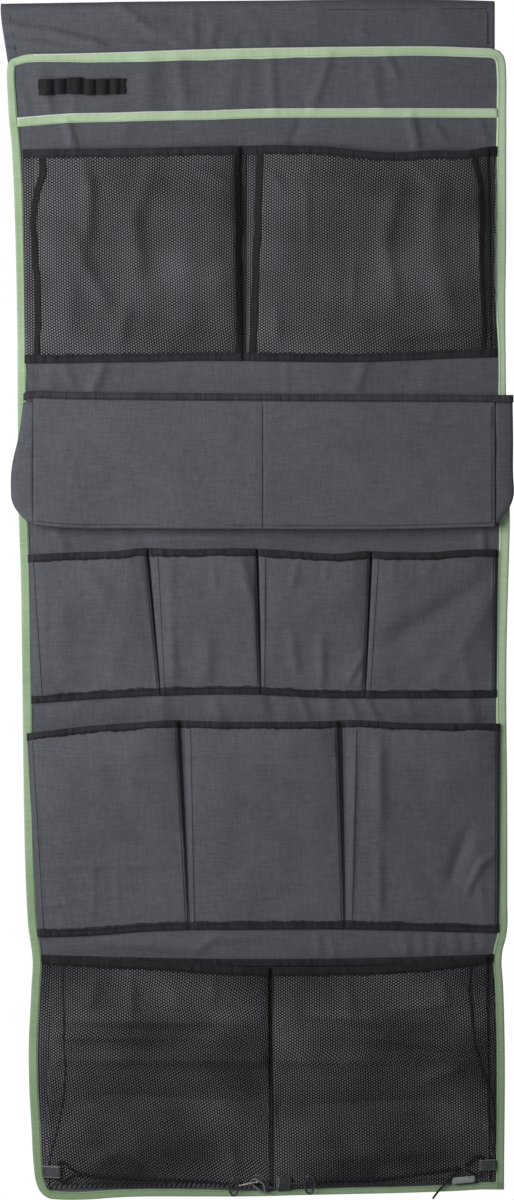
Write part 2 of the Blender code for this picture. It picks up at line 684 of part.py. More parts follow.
def hook(side, sign, center, root, reach):
    """A tab at the middle of the hem, and the hook in it: an oval wire ring with its shank."""
    teardrop_tab(f"center_tab_{side}", by_hem, root, reach, CENTER_SEAT, HOOK_STAND)
    rx, rz = (RING_WIDTH - HOOK_WIRE) / 2, (RING_HEIGHT - HOOK_WIRE) / 2
    turns = [math.radians(150 - sign * 5 + 13.4 * k) for k in range(26)]
    oval = [by_hem(center[0] + rx * math.cos(a), HOOK_STAND, center[1] + rz * math.sin(a)) for a in turns]
    tube(f"hook_ring_{side}", oval, HOOK_WIRE, BLACK_TAPE, 0.4)
    eye = tab_eye(root, reach, math.hypot(*reach))
    near = center[0] + sign * (RING_WIDTH / 2 + GAP)
    length = math.hypot(*reach)
    mouth = [eye[k] + (reach[1] / length, -reach[0] / length)[k] * -sign * WEBBING_WIDTH / 2 for k in (0, 1)]
    outside = [lerp(mouth[0], near, 0.35), lerp(mouth[1], eye[1], -0.35)]
    route = [(near, center[1] + 0.0015), (lerp(outside[0], near, 0.5), lerp(outside[1], center[1], 0.5)),
             outside, mouth, (lerp(mouth[0], eye[0], 0.6), lerp(mouth[1], eye[1], 0.6))]
    points = [by_hem(x, HOOK_STAND, h) for x, h in route]
    tube(f"hook_shank_{side}", smooth_route(points, HOOK_WIRE), HOOK_WIRE, STEEL, 0.35, 0.9)
    pivot(f"hook_swivel_{side}", by_hem(eye[0], HOOK_STAND, eye[1]), [f"hook_ring_{side}", f"hook_shank_{side}"])


def hem_pieces(lower):
    """Everything that is sewn or clipped along the hem. Rings and roots are set from the lower seam's foot."""
    seam = hung((lower.bases[0][1] + lower.bases[1][0]) / 2, 0, HEM_TOP)[0]
    rings = [(seam + across, up) for across, up in (LEFT_RING, RIGHT_RING)]
    roots = [(seam + across, up) for across, up in (LEFT_ROOT, RIGHT_ROOT)]
    corner_cord("left", -1, LEFT_CORD_ROUTE, rings[0][0])
    tied = corner_cord("right", 1, RIGHT_CORD_ROUTE, rings[1][0])
    hook("left", 1, rings[0], roots[0], LEFT_REACH)
    hook("right", -1, rings[1], roots[1], RIGHT_REACH)
    tail = [by_hem(*(a + b for a, b in zip(tied, step))) for step in TAIL_ROUTE]
    tube("cord_tail", smooth_route(tail, 3 * TAIL), TAIL, BLACK_TAPE)
    left, wide, tall = LABEL

    def place(x, z, layer):
        return hung(x, SHEET_FRONT + 2 * GAP + TAPE * layer, z)

    sheet("label_tab", (left, left + wide), (HEM_TOP + GAP, HEM_TOP + GAP + tall), place, GREY_WEBBING)


PARTS = None


def clear_scene():
    for obj in list(bpy.data.objects):
        bpy.data.objects.remove(obj)


def main():
    global PARTS
    clear_scene()
    PARTS = bpy.data.collections.new("tent_organizer")
    bpy.context.scene.collection.children.link(PARTS)
    back_panel()
    edge_binding()
    header_bar()
    pen_loops()
    lower = pocket_rows()
    lower_seam(lower)
    tray()
    pole_sleeve()
    hem_pieces(lower)


main()
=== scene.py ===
# %% [markdown]
# # A hanging tent organizer
# A tall panel of canvas hangs from a pole sleeve and carries five rows of pockets: two wide mesh pockets, a stiff
# tray, four small pockets, three tall ones and two deep mesh pockets, with elastic cords and hooks along the hem.
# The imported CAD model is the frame. Here each sewn piece is made again as cloth: worked out with numpy as a surface
# of two parameters, given its thickness, and hung on the body of the frame that it moves with.

# %% Load the frame
import math

import bpy
import numpy as np
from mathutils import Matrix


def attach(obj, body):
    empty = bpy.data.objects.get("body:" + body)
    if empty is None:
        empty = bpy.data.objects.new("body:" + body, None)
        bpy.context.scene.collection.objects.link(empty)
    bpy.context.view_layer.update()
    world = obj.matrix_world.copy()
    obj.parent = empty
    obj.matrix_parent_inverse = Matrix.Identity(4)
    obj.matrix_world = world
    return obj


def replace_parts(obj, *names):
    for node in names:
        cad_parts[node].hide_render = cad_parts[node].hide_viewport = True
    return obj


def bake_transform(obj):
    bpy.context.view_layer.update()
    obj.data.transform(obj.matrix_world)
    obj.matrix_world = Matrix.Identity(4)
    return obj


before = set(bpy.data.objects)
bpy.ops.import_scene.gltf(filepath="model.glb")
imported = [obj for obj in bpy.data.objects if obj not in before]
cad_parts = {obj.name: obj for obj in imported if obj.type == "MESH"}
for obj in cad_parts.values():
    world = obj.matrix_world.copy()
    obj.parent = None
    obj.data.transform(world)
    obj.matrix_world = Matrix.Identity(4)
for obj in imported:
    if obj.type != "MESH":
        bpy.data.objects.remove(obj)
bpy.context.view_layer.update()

# %% [markdown]
# ## Picture places and metres
# Nearly everything on a hanging panel lies in one upright plane, so places are measured there as on a pattern sheet:
# px to the right and py down, in points of 1.17 mm, which are the points of a 514 by 1200 picture of the front. Two
# functions turn them into metres across and up. How far something stands in front of the panel is kept in metres.

# %% Measures shared by all pieces
POINT = 1.1735e-3
MIDDLE_PX, SLEEVE_TOP_PY, SLEEVE_TOP = 261.4, 2.5, 0.0280
ROW_PX = 250  # where the height of a row is taken
PANEL_FACE = -0.0129
PANEL_THICKNESS = 0.0016
CLOTH = 0.0010
TAPE = 0.0007
MM = 1e-3


def across(px):
    """Metres across from the middle of the pole sleeve, for a picture place."""
    return (np.asarray(px) - MIDDLE_PX) * POINT


def height(py):
    """Metres up from the middle of the pole sleeve, for a picture place."""
    return SLEEVE_TOP - (np.asarray(py) - SLEEVE_TOP_PY) * POINT


def lerp(a, b, t):
    """From a to b, t of the way."""
    return a + (b - a) * t


def joined(*parts):
    """Numbers or arrays, spread to one shape and laid side by side along a new last axis."""
    return np.stack(np.broadcast_arrays(*parts), -1)


print("panel face at y", PANEL_FACE, "and hem at z", round(float(height(1195.9)), 4))

# %% [markdown]
# ## The camera
# The picture was taken straight from the front and from far away, since neither side of a pocket shows. A camera four
# metres off with a long lens gives that, and its view is exactly as tall as the picture. Each piece that follows can
# then be checked against the picture as soon as it is made.

# %% Camera
CAMERA_AWAY = 4.0
PICTURE = (514, 1200)
SENSOR = 36.0

camera_data = bpy.data.cameras.new("front_camera")
camera_data.sensor_fit = "VERTICAL"
camera_data.sensor_height = SENSOR
camera_data.lens = SENSOR * CAMERA_AWAY / (PICTURE[1] * POINT)
camera = bpy.data.objects.new("front_camera", camera_data)
camera.location = (across(PICTURE[0] / 2), PANEL_FACE - CAMERA_AWAY, height(PICTURE[1] / 2))
camera.rotation_euler = (math.pi / 2, 0, 0)
bpy.context.scene.collection.objects.link(camera)
bpy.context.scene.camera = camera
print("lens", round(camera_data.lens, 2), "mm")

# %% [markdown]
# ## Smooth lines
# Edges of sewn cloth are never straight, but a few measured points say how they run. `through` makes a function of
# them, with a cubic between each two points, and `flow` makes a line of points in the plane or in space, for cords.

# %% Curves through a few points


def through(*points):
    """A function through measured points: between each two runs the cubic that has the points' own slopes."""
    at, value = np.array(points, float).T
    slope = np.gradient(value, at)

    def curve(x):
        x = np.clip(x, at[0], at[-1])
        k = np.clip(np.searchsorted(at, x, side="right") - 1, 0, len(at) - 2)
        span = at[k + 1] - at[k]
        t = (x - at[k]) / span
        bend = span * t * (1 - t) * ((1 - t) * slope[k] - t * slope[k + 1])
        return lerp(value[k], value[k + 1], t * t * (3 - 2 * t)) + bend

    return curve


def flow(points, steps):
    """A line through points, steps to a span: at each point a cubic is as steep as half its neighbours' difference."""
    p = np.array(points, float)
    ends = np.vstack([2 * p[0] - p[1], p, 2 * p[-1] - p[-2]])
    a, b, c, d = (ends[k:len(p) - 1 + k, None] for k in range(4))
    t = (np.arange(steps) / steps)[None, :, None]
    line = b + (c - a) * t / 2 + (2 * a - 5 * b + 4 * c - d) * t ** 2 / 2 + (3 * b - a - 3 * c + d) * t ** 3 / 2
    return np.vstack([line.reshape(-1, p.shape[1]), p[-1:]])


def run_length(line):
    """How far along a line each of its points is."""
    return np.concatenate([[0], np.cumsum(np.linalg.norm(np.diff(line, axis=0), axis=1))])


def evenly(line, step):
    """The same line with points about a step apart."""
    far = run_length(line)
    wanted = np.linspace(0, far[-1], max(2, round(far[-1] / step) + 1))
    return joined(*(np.interp(wanted, far, values) for values in line.T))


def soften(values, times):
    """Each inner value becomes the mean of itself, counted twice, and its two neighbours, this many times."""
    values = np.array(values, float)
    for _ in range(times):
        values[1:-1] = (values[:-2] + 2 * values[1:-1] + values[2:]) / 4
    return values


print("a line of", len(flow([(0, 0), (1, 0), (1, 1)], 4)), "points through three")

# %% [markdown]
# ## Meshes from grids of points
# Cloth has two sides and an edge, so a sheet is made as a closed shell: the grid of points is moved half its
# thickness each way along its own normals, and a rim joins the two copies. Cords and wires are tubes: a ring carried
# along a line. Both keep a point attribute named `cloth`, which holds the place on the flat cloth in metres, so that a
# weave follows the cloth wherever it is folded.


def add_piece(name, points, faces, flat_from, cloth, finish, body):
    """A mesh object from arrays, riding on a body. Faces from number flat_from on are shaded flat."""
    mesh = bpy.data.meshes.new(name)
    mesh.from_pydata(points.tolist(), [], faces)
    mesh.polygons.foreach_set("use_smooth", np.arange(len(faces)) < flat_from)
    stored = mesh.attributes.new("cloth", "FLOAT_VECTOR", "POINT")
    stored.data.foreach_set("vector", np.hstack([cloth, np.zeros((len(cloth), 1))]).ravel())
    mesh.materials.append(finish)
    obj = bpy.data.objects.new(name, mesh)
    bpy.context.scene.collection.objects.link(obj)
    if body:
        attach(obj, body)
    return obj


def sewn(obj, node, **cloth):
    """The piece stands for a node of the CAD model. What more is said about the cloth is not used."""
    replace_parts(obj, node)
    return obj


def unit(vectors):
    """The same directions, each of length one."""
    return vectors / np.maximum(np.linalg.norm(vectors, axis=-1, keepdims=True), 1e-12)


def grid_normals(points):
    """Normals of a grid of points: the direction along its columns crossed with the one along its rows."""
    return unit(np.cross(np.gradient(points, axis=0), np.gradient(points, axis=1)))


def quads(index):
    """Corner numbers of the faces of a grid of point numbers."""
    return joined(index[:-1, :-1], index[1:, :-1], index[1:, 1:], index[:-1, 1:]).reshape(-1, 4)


def shell(name, points, thickness, finish, body="panel", cloth=None):
    """A sheet from an (n, m, 3) grid: two copies of it, half a thickness off either way, and a rim between them."""
    n, m = points.shape[:2]
    normal = grid_normals(points)
    if cloth is None:
        cloth = points[..., ::2]
    front = np.arange(n * m).reshape(n, m)
    back = front + n * m
    loop = np.concatenate([front[:-1, 0], front[-1, :-1], front[:0:-1, -1], front[0, :0:-1]])
    after = np.roll(loop, -1)
    rim = joined(loop + n * m, after + n * m, after, loop)
    sides = np.concatenate([quads(front), quads(back)[:, ::-1]])
    both = np.concatenate([points + normal * thickness / 2, points - normal * thickness / 2]).reshape(-1, 3)
    faces = np.concatenate([sides, rim]).tolist()
    return add_piece(name, both, faces, len(sides), np.tile(cloth.reshape(-1, 2), (2, 1)), finish, body)


def tube(name, line, radius, finish, body="panel", sides=10, closed=False):
    """A ring carried along a line. Each ring stands across the line's direction, turned from the Y axis."""
    line = np.asarray(line, float)
    radius = np.broadcast_to(radius, len(line))[:, None]
    ahead = unit(np.roll(line, -1, 0) - np.roll(line, 1, 0)) if closed else unit(np.gradient(line, axis=0))
    side = unit(np.cross(ahead, (0, 1, 0)))
    out = np.cross(side, ahead)
    turn = 2 * math.pi * np.arange(sides) / sides
    ring = np.cos(turn)[:, None] * side[:, None] + np.sin(turn)[:, None] * out[:, None]
    points = (line[:, None] + radius[..., None] * ring).reshape(-1, 3)
    index = np.arange(len(points)).reshape(len(line), sides)
    index = np.hstack([index, index[:, :1]])
    cloth = joined(turn * radius, run_length(line)[:, None]).reshape(-1, 2)
    if closed:
        faces = quads(np.vstack([index, index[:1]])).tolist()
    else:
        first, last = index[0], index[-1]
        faces = [*quads(index).tolist(), *joined(len(points), first[:-1], first[1:]).tolist(),
                 *joined(len(points) + 1, last[1:], last[:-1]).tolist()]
        points = np.vstack([points, line[[0, -1]]])
        cloth = np.vstack([cloth, cloth[[0, -1]]])
    return add_piece(name, points, faces, len(faces), cloth, finish, body)


print("shells and tubes can be made")

# %% [markdown]
# ## Finishes
# A finish is a material made of nodes. Its threads, ribs and net are reckoned from the `cloth` attribute, so they
# are as fine as the real ones and never slide. To write such patterns as plain sums, `Field` wraps a node's output:
# an operator on it adds the Math node. What is the same all over, such as sheen, is set on the shader's own socket.

# %% A small language for patterns


def add_node(tree, kind, settings, inputs):
    """One node: its settings first, a ramp's stops among them, then a value or a link for each socket."""
    made = tree.nodes.new(kind)
    for name, value in settings.items():
        if name == "stops":
            set_stops(made.color_ramp, value)
        else:
            setattr(made, name, value)
    for name, value in inputs.items():
        if isinstance(value, Field):
            tree.links.new(value.socket, made.inputs[name])
        else:
            made.inputs[name].default_value = value
    return made


def set_stops(ramp, stops):
    """Colours of a ramp, from (place, colour). Its first and last stop are there already, at 0 and 1."""
    for (_, colour), element in zip((stops[0], stops[-1]), ramp.elements):
        element.color = (*colour, 1)
    for place_at, colour in stops[1:-1]:
        ramp.elements.new(place_at).color = (*colour, 1)


class Field:
    """A number that varies over a surface: a node's output, with operators that add Math nodes."""

    def __init__(self, tree, socket):
        self.tree, self.socket = tree, socket

    def math(self, operation, *values, clamp=False):
        settings = {"operation": operation, "use_clamp": clamp}
        made = add_node(self.tree, "ShaderNodeMath", settings, dict(enumerate(values)))
        return Field(self.tree, made.outputs[0])

    def __add__(self, other):
        return self.math("ADD", self, other)

    def __sub__(self, other):
        return self.math("SUBTRACT", self, other)

    def __rsub__(self, other):
        return self.math("SUBTRACT", other, self)

    def __mul__(self, other):
        return self.math("MULTIPLY", self, other)

    __radd__, __rmul__ = __add__, __mul__

    def sine(self):
        return self.math("SINE", self)

    def cosine(self):
        return self.math("COSINE", self)

    def size(self):
        return self.math("ABSOLUTE", self)

    def above(self, low, high):
        """0 below low, 1 above high and straight between them."""
        return self.math("MULTIPLY", self - low, 1 / (high - low), clamp=True)


class Finish:
    """A material under construction: the shader's constant sockets by name, and methods for what varies."""

    def __init__(self, name, **constants):
        self.material = bpy.data.materials.new(name)
        self.material.use_nodes = True
        self.material["slot"] = name
        self.tree = self.material.node_tree
        self.shader = self.tree.nodes["Principled BSDF"]
        self.shader.inputs["Specular IOR Level"].default_value = 0.15
        for socket, value in constants.items():
            self.shader.inputs[socket.replace("_", " ")].default_value = value

    def node(self, kind, settings=None, inputs=None, output=0):
        made = add_node(self.tree, kind, settings or {}, inputs or {})
        return Field(self.tree, made.outputs[output])

    def parts(self, vector):
        """The three numbers of a vector."""
        split = add_node(self.tree, "ShaderNodeSeparateXYZ", {}, {0: vector})
        return [Field(self.tree, output) for output in split.outputs]

    def cloth(self):
        """Metres across and up the flat cloth."""
        return self.parts(self.node("ShaderNodeAttribute", {"attribute_name": "cloth"}, output="Vector"))[:2]

    def place(self):
        """Metres across, back and up from the middle of the pole sleeve."""
        return self.parts(self.node("ShaderNodeTexCoord", output="Object"))

    def noise(self, u, v, across_scale, up_scale, detail=2.0):
        """Cloudy noise round 0, finer across or up by its two scales in waves to the metre."""
        where = self.node("ShaderNodeCombineXYZ", {}, {0: u * across_scale, 1: v * up_scale, 2: 0.37})
        cloud = self.node("ShaderNodeTexNoise", {}, {"Vector": where, "Scale": 1.0, "Detail": detail})
        return cloud - 0.5

    def mix(self, factor, low, high):
        """Colour low where the factor is 0 and high where it is 1."""
        settings = {"data_type": "RGBA"}
        return self.node("ShaderNodeMix", settings, {0: factor, 6: (*low, 1), 7: (*high, 1)}, output=2)

    def made(self, colour, relief=None, **links):
        """The material with what varies linked to it: colour, relief in metres, and other sockets by their names."""
        if relief:
            links["Normal"] = self.node("ShaderNodeBump", {}, {"Strength": 1.0, "Distance": 1.0, "Height": relief})
        for socket, field in {"Base Color": colour, **links}.items():
            self.tree.links.new(field.socket, self.shader.inputs[socket])
        return self.material


print("patterns can be written as sums")

# %% [markdown]
# ### Canvas
# The panel and pockets are of polyester canvas: a plain weave of matt threads, a few of them thicker. Seen whole, it
# is a slate grey with short light and dark streaks along both threads, and slow cloudy changes from handling. The
# weave itself is a product of two waves, and each streak is noise that is drawn out along one thread.

# %% Canvas
SLATE_DARK, SLATE_LIGHT = (0.056, 0.0595, 0.069), (0.109, 0.1145, 0.132)
THREAD = 0.00055


def woven(name, dark, light, thread, roughness, sheen=0.04):
    """Plain weave: colour and relief from two waves across and up, and from streaks along both threads."""
    paint = Finish(name, Sheen_Weight=sheen, Sheen_Roughness=0.6, Roughness=roughness)
    u, v = paint.cloth()
    wave = 2 * math.pi / thread
    weave = (u * (wave / 2)).sine() * (v * (wave / 2)).sine()
    slubs = paint.noise(u, v, 70, 700) + paint.noise(u, v, 640, 80)
    clouds = paint.noise(u, v, 9, 9, 4.0)
    tone = (slubs + clouds * 0.8 + weave * 0.06 + 0.5).above(0.0, 1.0)
    return paint.made(paint.mix(tone, dark, light), (weave.size() + slubs) * 0.00009,
                      Roughness=roughness + clouds * 0.12 + slubs * 0.08)


canvas = woven("dark_cloth", SLATE_DARK, SLATE_LIGHT, THREAD, 0.82)
print("canvas threads", THREAD / MM, "mm apart")

# %% [markdown]
# ### Mesh netting
# The mesh is a knitted net: knots in rows, each row shifted by half a step, with holes between them. The knots are
# lighter than the black strands, a painted highlight. A net of real strands would need millions of faces, so the
# material cuts the holes: three waves whose directions are a third of a turn apart add up to a peak at every knot and
# sink at every hole, where the cloth is see-through.

# %% Mesh netting
HOLE_PITCH = 0.0033


def netting(name, dark, light, painted_shade_bands=()):
    """A net: three cosines of equal pitch, at 0, 60 and 120 degrees, are added. Peaks are knots, and lows are holes.

    The last argument is painted shade: the net's tones as (share of the way from the lower net's foot to its mouth,
    tone), darker in bands where its folds and the inside of the pocket lie in shade.
    """
    paint = Finish(name, Roughness=0.7, Sheen_Weight=0.04)
    u, v = paint.cloth()
    wave = 2 * math.pi / (HOLE_PITCH * math.sin(math.pi / 3))
    total = 0.0
    for turn in (0, math.pi / 3, 2 * math.pi / 3):
        total = (u * (math.cos(turn) * wave) + v * (math.sin(turn) * wave)).cosine() + total
    clouds = paint.noise(u, v, 14, 14, 3.0) + paint.noise(u, v, 5, 9) * 2.4
    # The knots are lighter than the black net's strands: a painted highlight.
    knot = (total + clouds).above(0.0, 2.0)
    hole = (0 - total).above(0.6, 1.2)
    tone = knot * (clouds * 1.2 + 1)
    # Painted shade: the net's tone is scaled in bands up its height.
    if painted_shade_bands:
        mouth, foot = height(960), height(1190)
        stops = {"stops": [(share, (shade,) * 3) for share, shade in painted_shade_bands]}
        tone = tone * paint.node("ShaderNodeValToRGB", stops, {0: (paint.place()[2] - foot) * (1 / (mouth - foot))})
    return paint.made(paint.mix(tone.above(0.0, 1.0), dark, light), total * 0.00008, Alpha=1 - hole * 0.9)


def layered(name, dark, light):
    """Layers of net over one another: nearly closed, with no pattern left."""
    paint = Finish(name, Roughness=0.8)
    u, v = paint.cloth()
    tone = (paint.noise(u, v, 300, 300) + 0.5).above(0.0, 1.0)
    return paint.made(paint.mix(tone, dark, light), Alpha=(paint.noise(u, v, 500, 500) * 0.8 + 0.78).above(0.0, 1.0))


mesh_net = netting("black_mesh", (0.012, 0.012, 0.014), (0.165, 0.163, 0.181))
net_layers = layered("net_layers", (0.008, 0.007, 0.009), (0.020, 0.019, 0.022))
# The deep net's tones up its height are painted shade: darker bands where its folds and the pocket's inside lie in
# shade.
deep_net = netting("deep_mesh", (0.009, 0.009, 0.011), (0.190, 0.187, 0.208),
                   [(0, 0.95), (0.11, 0.95), (0.26, 0.85), (0.35, 0.62), (0.47, 0.56), (0.58, 0.62), (0.66, 0.72),
                    (0.75, 0.68), (0.83, 0.58), (1, 0.56)])
print("net holes", HOLE_PITCH / MM, "mm apart")

# %% [markdown]
# ### Tapes and elastic
# Binding tape is a narrow ribbed ribbon. Its ribs run across it, about one to the millimetre, and between them the
# colour is deeper. The same pattern in other colours and pitches makes the green tape, the black tapes, the pen
# elastic, and the closure, whose loops stand up at random. The green tape has painted shade and light: it is duller
# towards the hem, less so on the right, and on the left it is duller all the way up.

# %% Tapes and elastic


def ribbed(name, dark, light, rib, roughness, relief=0.00012, speckle=0.5, sheen=0.03, painted_shading=0.0):
    """Ribs across a tape: a wave along it, broken up by fine noise, for colour and relief. It may dull downwards.

    The last argument is painted shade: how much tone is lost in a metre on the way down. The left side gets more
    painted shade, and the right side painted light.
    """
    paint = Finish(name, Sheen_Weight=sheen, Roughness=roughness)
    u, v = paint.cloth()
    ribs = ((u + v) * (2 * math.pi / rib)).sine()
    grain = paint.noise(u, v, 900, 900) + paint.noise(u, v, 330, 500) * 0.8
    clouds = paint.noise(u, v, 12, 12, 3.0)
    tone = ribs * 0.16 + grain * speckle + clouds * 0.5 + 0.5
    # Painted shade and light on the green tape: darker towards the hem and up the left side, lighter on the right
    # except near the hem.
    if painted_shading:
        x, _, z = paint.place()
        left, right = (0 - x).above(0.15, 0.29), x.above(0.20, 0.275)
        tone = tone + (z + 0.5) * painted_shading - left * (z + 1.35) * 0.21 + right * z.above(-1.2, -0.75) * 0.28
    return paint.made(paint.mix(tone.above(0.0, 1.0), dark, light), (ribs + grain) * relief,
                      Roughness=roughness + grain * 0.15)


green_tape = ribbed("green_tape", (0.215, 0.320, 0.178), (0.545, 0.700, 0.480), 0.0011, 0.75, speckle=0.3, painted_shading=0.50)
# A pale ribbed finish for thin strips along the green tapes' upper edges: a painted highlight where the rounded tape
# turns up to the light.
painted_tape_highlight = ribbed("painted_tape_highlight", (0.48, 0.52, 0.44), (0.70, 0.72, 0.66), 0.0030, 0.8, speckle=1.2)
black_tape = ribbed("black_tape", (0.0040, 0.0036, 0.0044), (0.040, 0.038, 0.043), 0.0010, 0.8, speckle=1.4)
tray_tape = ribbed("tray_tape", (0.0090, 0.0086, 0.0100), (0.070, 0.067, 0.078), 0.0010, 0.8, speckle=1.2)
black_elastic = ribbed("black_elastic", (0.0045, 0.0045, 0.0050), (0.027, 0.026, 0.028), 0.0014, 0.85, 0.0002, 1.3,
                       0.01)
closure = ribbed("hook_and_loop", (0.007, 0.007, 0.008), (0.030, 0.030, 0.033), 0.0009, 0.9, 0.0005, 0.9)
board = woven("stiff_board", (0.50, 0.50, 0.48), (0.66, 0.66, 0.63), 0.003, 0.6, sheen=0.0)
print("six ribbed finishes and a board")

# %% [markdown]
# ### Cord and wire
# The elastic cord has a braided cover, whose strands cross in diamonds: two waves that climb round it in opposite
# turns. The hooks are wire, one dipped in black and one bare, with fine specks of grime on the bare one. The light
# specks on the black one are painted highlights.

# %% Cord and wire


def braided(name, dark, light, strand):
    """A braid: two waves that run round the cord and along it, one rising and one falling, and their product."""
    paint = Finish(name, Roughness=0.7)
    u, v = paint.cloth()
    wave = 2 * math.pi / strand
    diamonds = ((u + v) * wave).sine() * ((u - v) * wave).sine()
    return paint.made(paint.mix((diamonds * 0.5 + 0.5).above(0.1, 0.9), dark, light), diamonds * 0.00018)


def wire(name, dark, light, roughness, metallic, speck):
    """Wire: drawn metal with specks: grime on the bare wire, and painted highlights on the black one."""
    paint = Finish(name, Metallic=metallic, Roughness=roughness, Specular_IOR_Level=0.5)
    u, v = paint.cloth()
    grain = paint.noise(u, v, 700, 700, 3.0)
    return paint.made(paint.mix((grain * speck + 0.55).above(0.2, 0.8), dark, light), grain * 0.0001,
                      Roughness=roughness + grain * 0.3)


black_cord = braided("black_cord", (0.004, 0.004, 0.005), (0.017, 0.016, 0.018), 0.0019)
# The black wire's light specks are painted highlights.
black_wire = wire("black_wire", (0.006, 0.006, 0.006), (0.030, 0.030, 0.029), 0.30, 0.3, 2.0)
bare_wire = wire("bare_wire", (0.06, 0.06, 0.06), (0.50, 0.50, 0.50), 0.42, 0.70, 3.0)
print("cord and wire finishes")

# %% [markdown]
# ## Cords and hooks along the hem
# At each lower corner an elastic cord is looped through a tab, knotted, and led along the hem to a wire hook at the
# middle. A cord is a fixed length of something limp, so each is a tube along one smooth line through measured points.
# The hooks swivel on their tabs, so they ride on their own bodies.

# %% Where the cords and hooks are
CORD, TAIL, HOOK_WIRE = 0.0024, 0.0025, 0.0024
PANEL_HEM = -1.3735
HOOK_STAND = 0.0095
RING_WIDTH, RING_HEIGHT = 0.0130, 0.0230
KNOT_SIZE = (0.0032, 0.0026, 0.0028)
CORD_END_GAP = 0.0004
SWING = 0.0700
LEFT_RING, RIGHT_RING = (-0.0322, 0.0133), (0.0564, 0.0157)
LEFT_EYE, RIGHT_EYE = (-0.2381, -0.0201, -1.3432), (0.2585, -0.0201, -1.3352)
LEFT_KNOT, RIGHT_KNOT = (-0.2136, 0.0074, 0.0283), (0.2293, 0.0074, 0.0345)
KNOT_CORD = 0.0021
LOOP_ROUTE = [
    (0.0203, 0.0002, 0.0015), (0.0134, 0.0001, 0.0064), (0.0066, 0.0, 0.0112), (0.0018, 0.0, 0.0112),
    (-0.0002, 0.0, 0.0075), (0.0, 0.0, 0.0), (-0.0002, 0.0, -0.0075), (0.0018, 0.0, -0.0112),
    (0.0066, 0.0, -0.0112), (0.0134, 0.0001, -0.0064), (0.0203, 0.0002, -0.0015),
]
LEFT_CORD_ROUTE = [
    (0, 0.0074, 0.0283), (0.050, 0.0068, 0.0263), (0.132, 0.0058, 0.0240), (0.250, 0.0052, 0.0226),
    (0.361, 0.0049, 0.0218), (0.500, 0.0047, 0.0211), (0.652, 0.0047, 0.0202), (0.800, 0.0050, 0.0192),
    (0.900, 0.0062, 0.0181), (1, 0.0094, 0.0162),
]
RIGHT_CORD_ROUTE = [
    (0, 0.0074, 0.0345), (0.060, 0.0070, 0.0328), (0.130, 0.0062, 0.0306), (0.240, 0.0056, 0.0280),
    (0.370, 0.0053, 0.0250), (0.500, 0.0052, 0.0226), (0.640, 0.0051, 0.0211), (0.770, 0.0052, 0.0204),
    (0.890, 0.0064, 0.0200), (1, 0.0094, 0.0185),
]
TAIL_ROUTE = [
    (-0.0002, 0.0, -0.0033), (-0.0036, 0.0, -0.0066), (-0.0072, -0.0004, -0.0116), (-0.0118, -0.0014, -0.0166),
    (-0.0162, -0.0022, -0.0208), (-0.0228, -0.0028, -0.0282), (-0.0284, -0.0030, -0.0360),
]


def by_hem(places):
    """Points from (across, out from the panel's face, up from the hem)."""
    x, s, h = np.moveaxis(np.asarray(places, float), -1, 0)
    return joined(x, PANEL_FACE - s, PANEL_HEM + h)


print("routes of", len(LEFT_CORD_ROUTE), "and", len(RIGHT_CORD_ROUTE), "points")

# %% Hooks and cords


def hook_ring(side, sign, center):
    """The oval of a hook: an ellipse of wire that stays open where the cord goes in."""
    rx, rz = (RING_WIDTH - HOOK_WIRE) / 2, (RING_HEIGHT - HOOK_WIRE) / 2
    turn = np.radians(np.linspace(150 - 5 * sign, 150 - 5 * sign + 335, 72))
    oval = joined(center[0] + rx * np.cos(turn), HOOK_STAND, center[1] + rz * np.sin(turn))
    ring = tube(f"ring_{side}", by_hem(oval), HOOK_WIRE * 0.56, black_wire, f"hook_{side}", 12)
    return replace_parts(ring, f"hook_ring_{side}")


def knot(side, center):
    """An overhand knot: the closed line (sin t + 2 sin 2t, -sin 3t, cos t - 2 cos 2t), drawn tight."""
    t = np.linspace(0, 2 * math.pi, 72, endpoint=False)
    turns = joined(np.sin(t) + 2 * np.sin(2 * t), -1.3 * np.sin(3 * t), np.cos(t) - 2 * np.cos(2 * t))
    reach = (np.array(KNOT_SIZE) - 0.0010) / (3.0, 1.3, 3.0)
    tied = tube(f"knot_{side}", by_hem(center) + turns * reach, KNOT_CORD / 2, black_cord, closed=True)
    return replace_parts(tied, f"cord_knot_{side}")


def limp(name, node, points, diameter, on=(), swing=None):
    """A cord along the smooth line through points. Where swing is given, the cord rides on no body."""
    line = flow(points, 8)
    cord = tube(name, line, diameter / 2, black_cord, None if swing else "panel")
    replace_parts(cord, node)
    if swing:
        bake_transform(cord)
    print(f"{name} {run_length(line)[-1]:.3f} m")


def corner_cords(side, sign, eye, center, route, ring, hook):
    """The loop through a corner's tab, its knot, and the cord from there to the hook's ring."""
    drop = (eye[2] - (PANEL_HEM + center[2])) / abs(eye[0] - center[0])
    steps = np.array(LOOP_ROUTE)
    steps[:, 2] -= drop * np.maximum(0, steps[:, 0])
    limp(f"loop_{side}", f"tab_loop_{side}", np.array(eye) + steps * (-sign, -1, 1), CORD,
         [knot(side, center)])
    start = center[0] - sign * (KNOT_SIZE[0] + CORD_END_GAP)
    end = ring[0] + sign * (RING_WIDTH / 2 + CORD_END_GAP)
    share, stand, up = np.array(route).T
    limp(f"elastic_{side}", f"elastic_cord_{side}", by_hem(joined(lerp(start, end, share), stand, up)), CORD,
         [hook], (f"hook_{side}", by_hem((end + sign * SWING, 0, 0)), by_hem((end, 0, 0))))


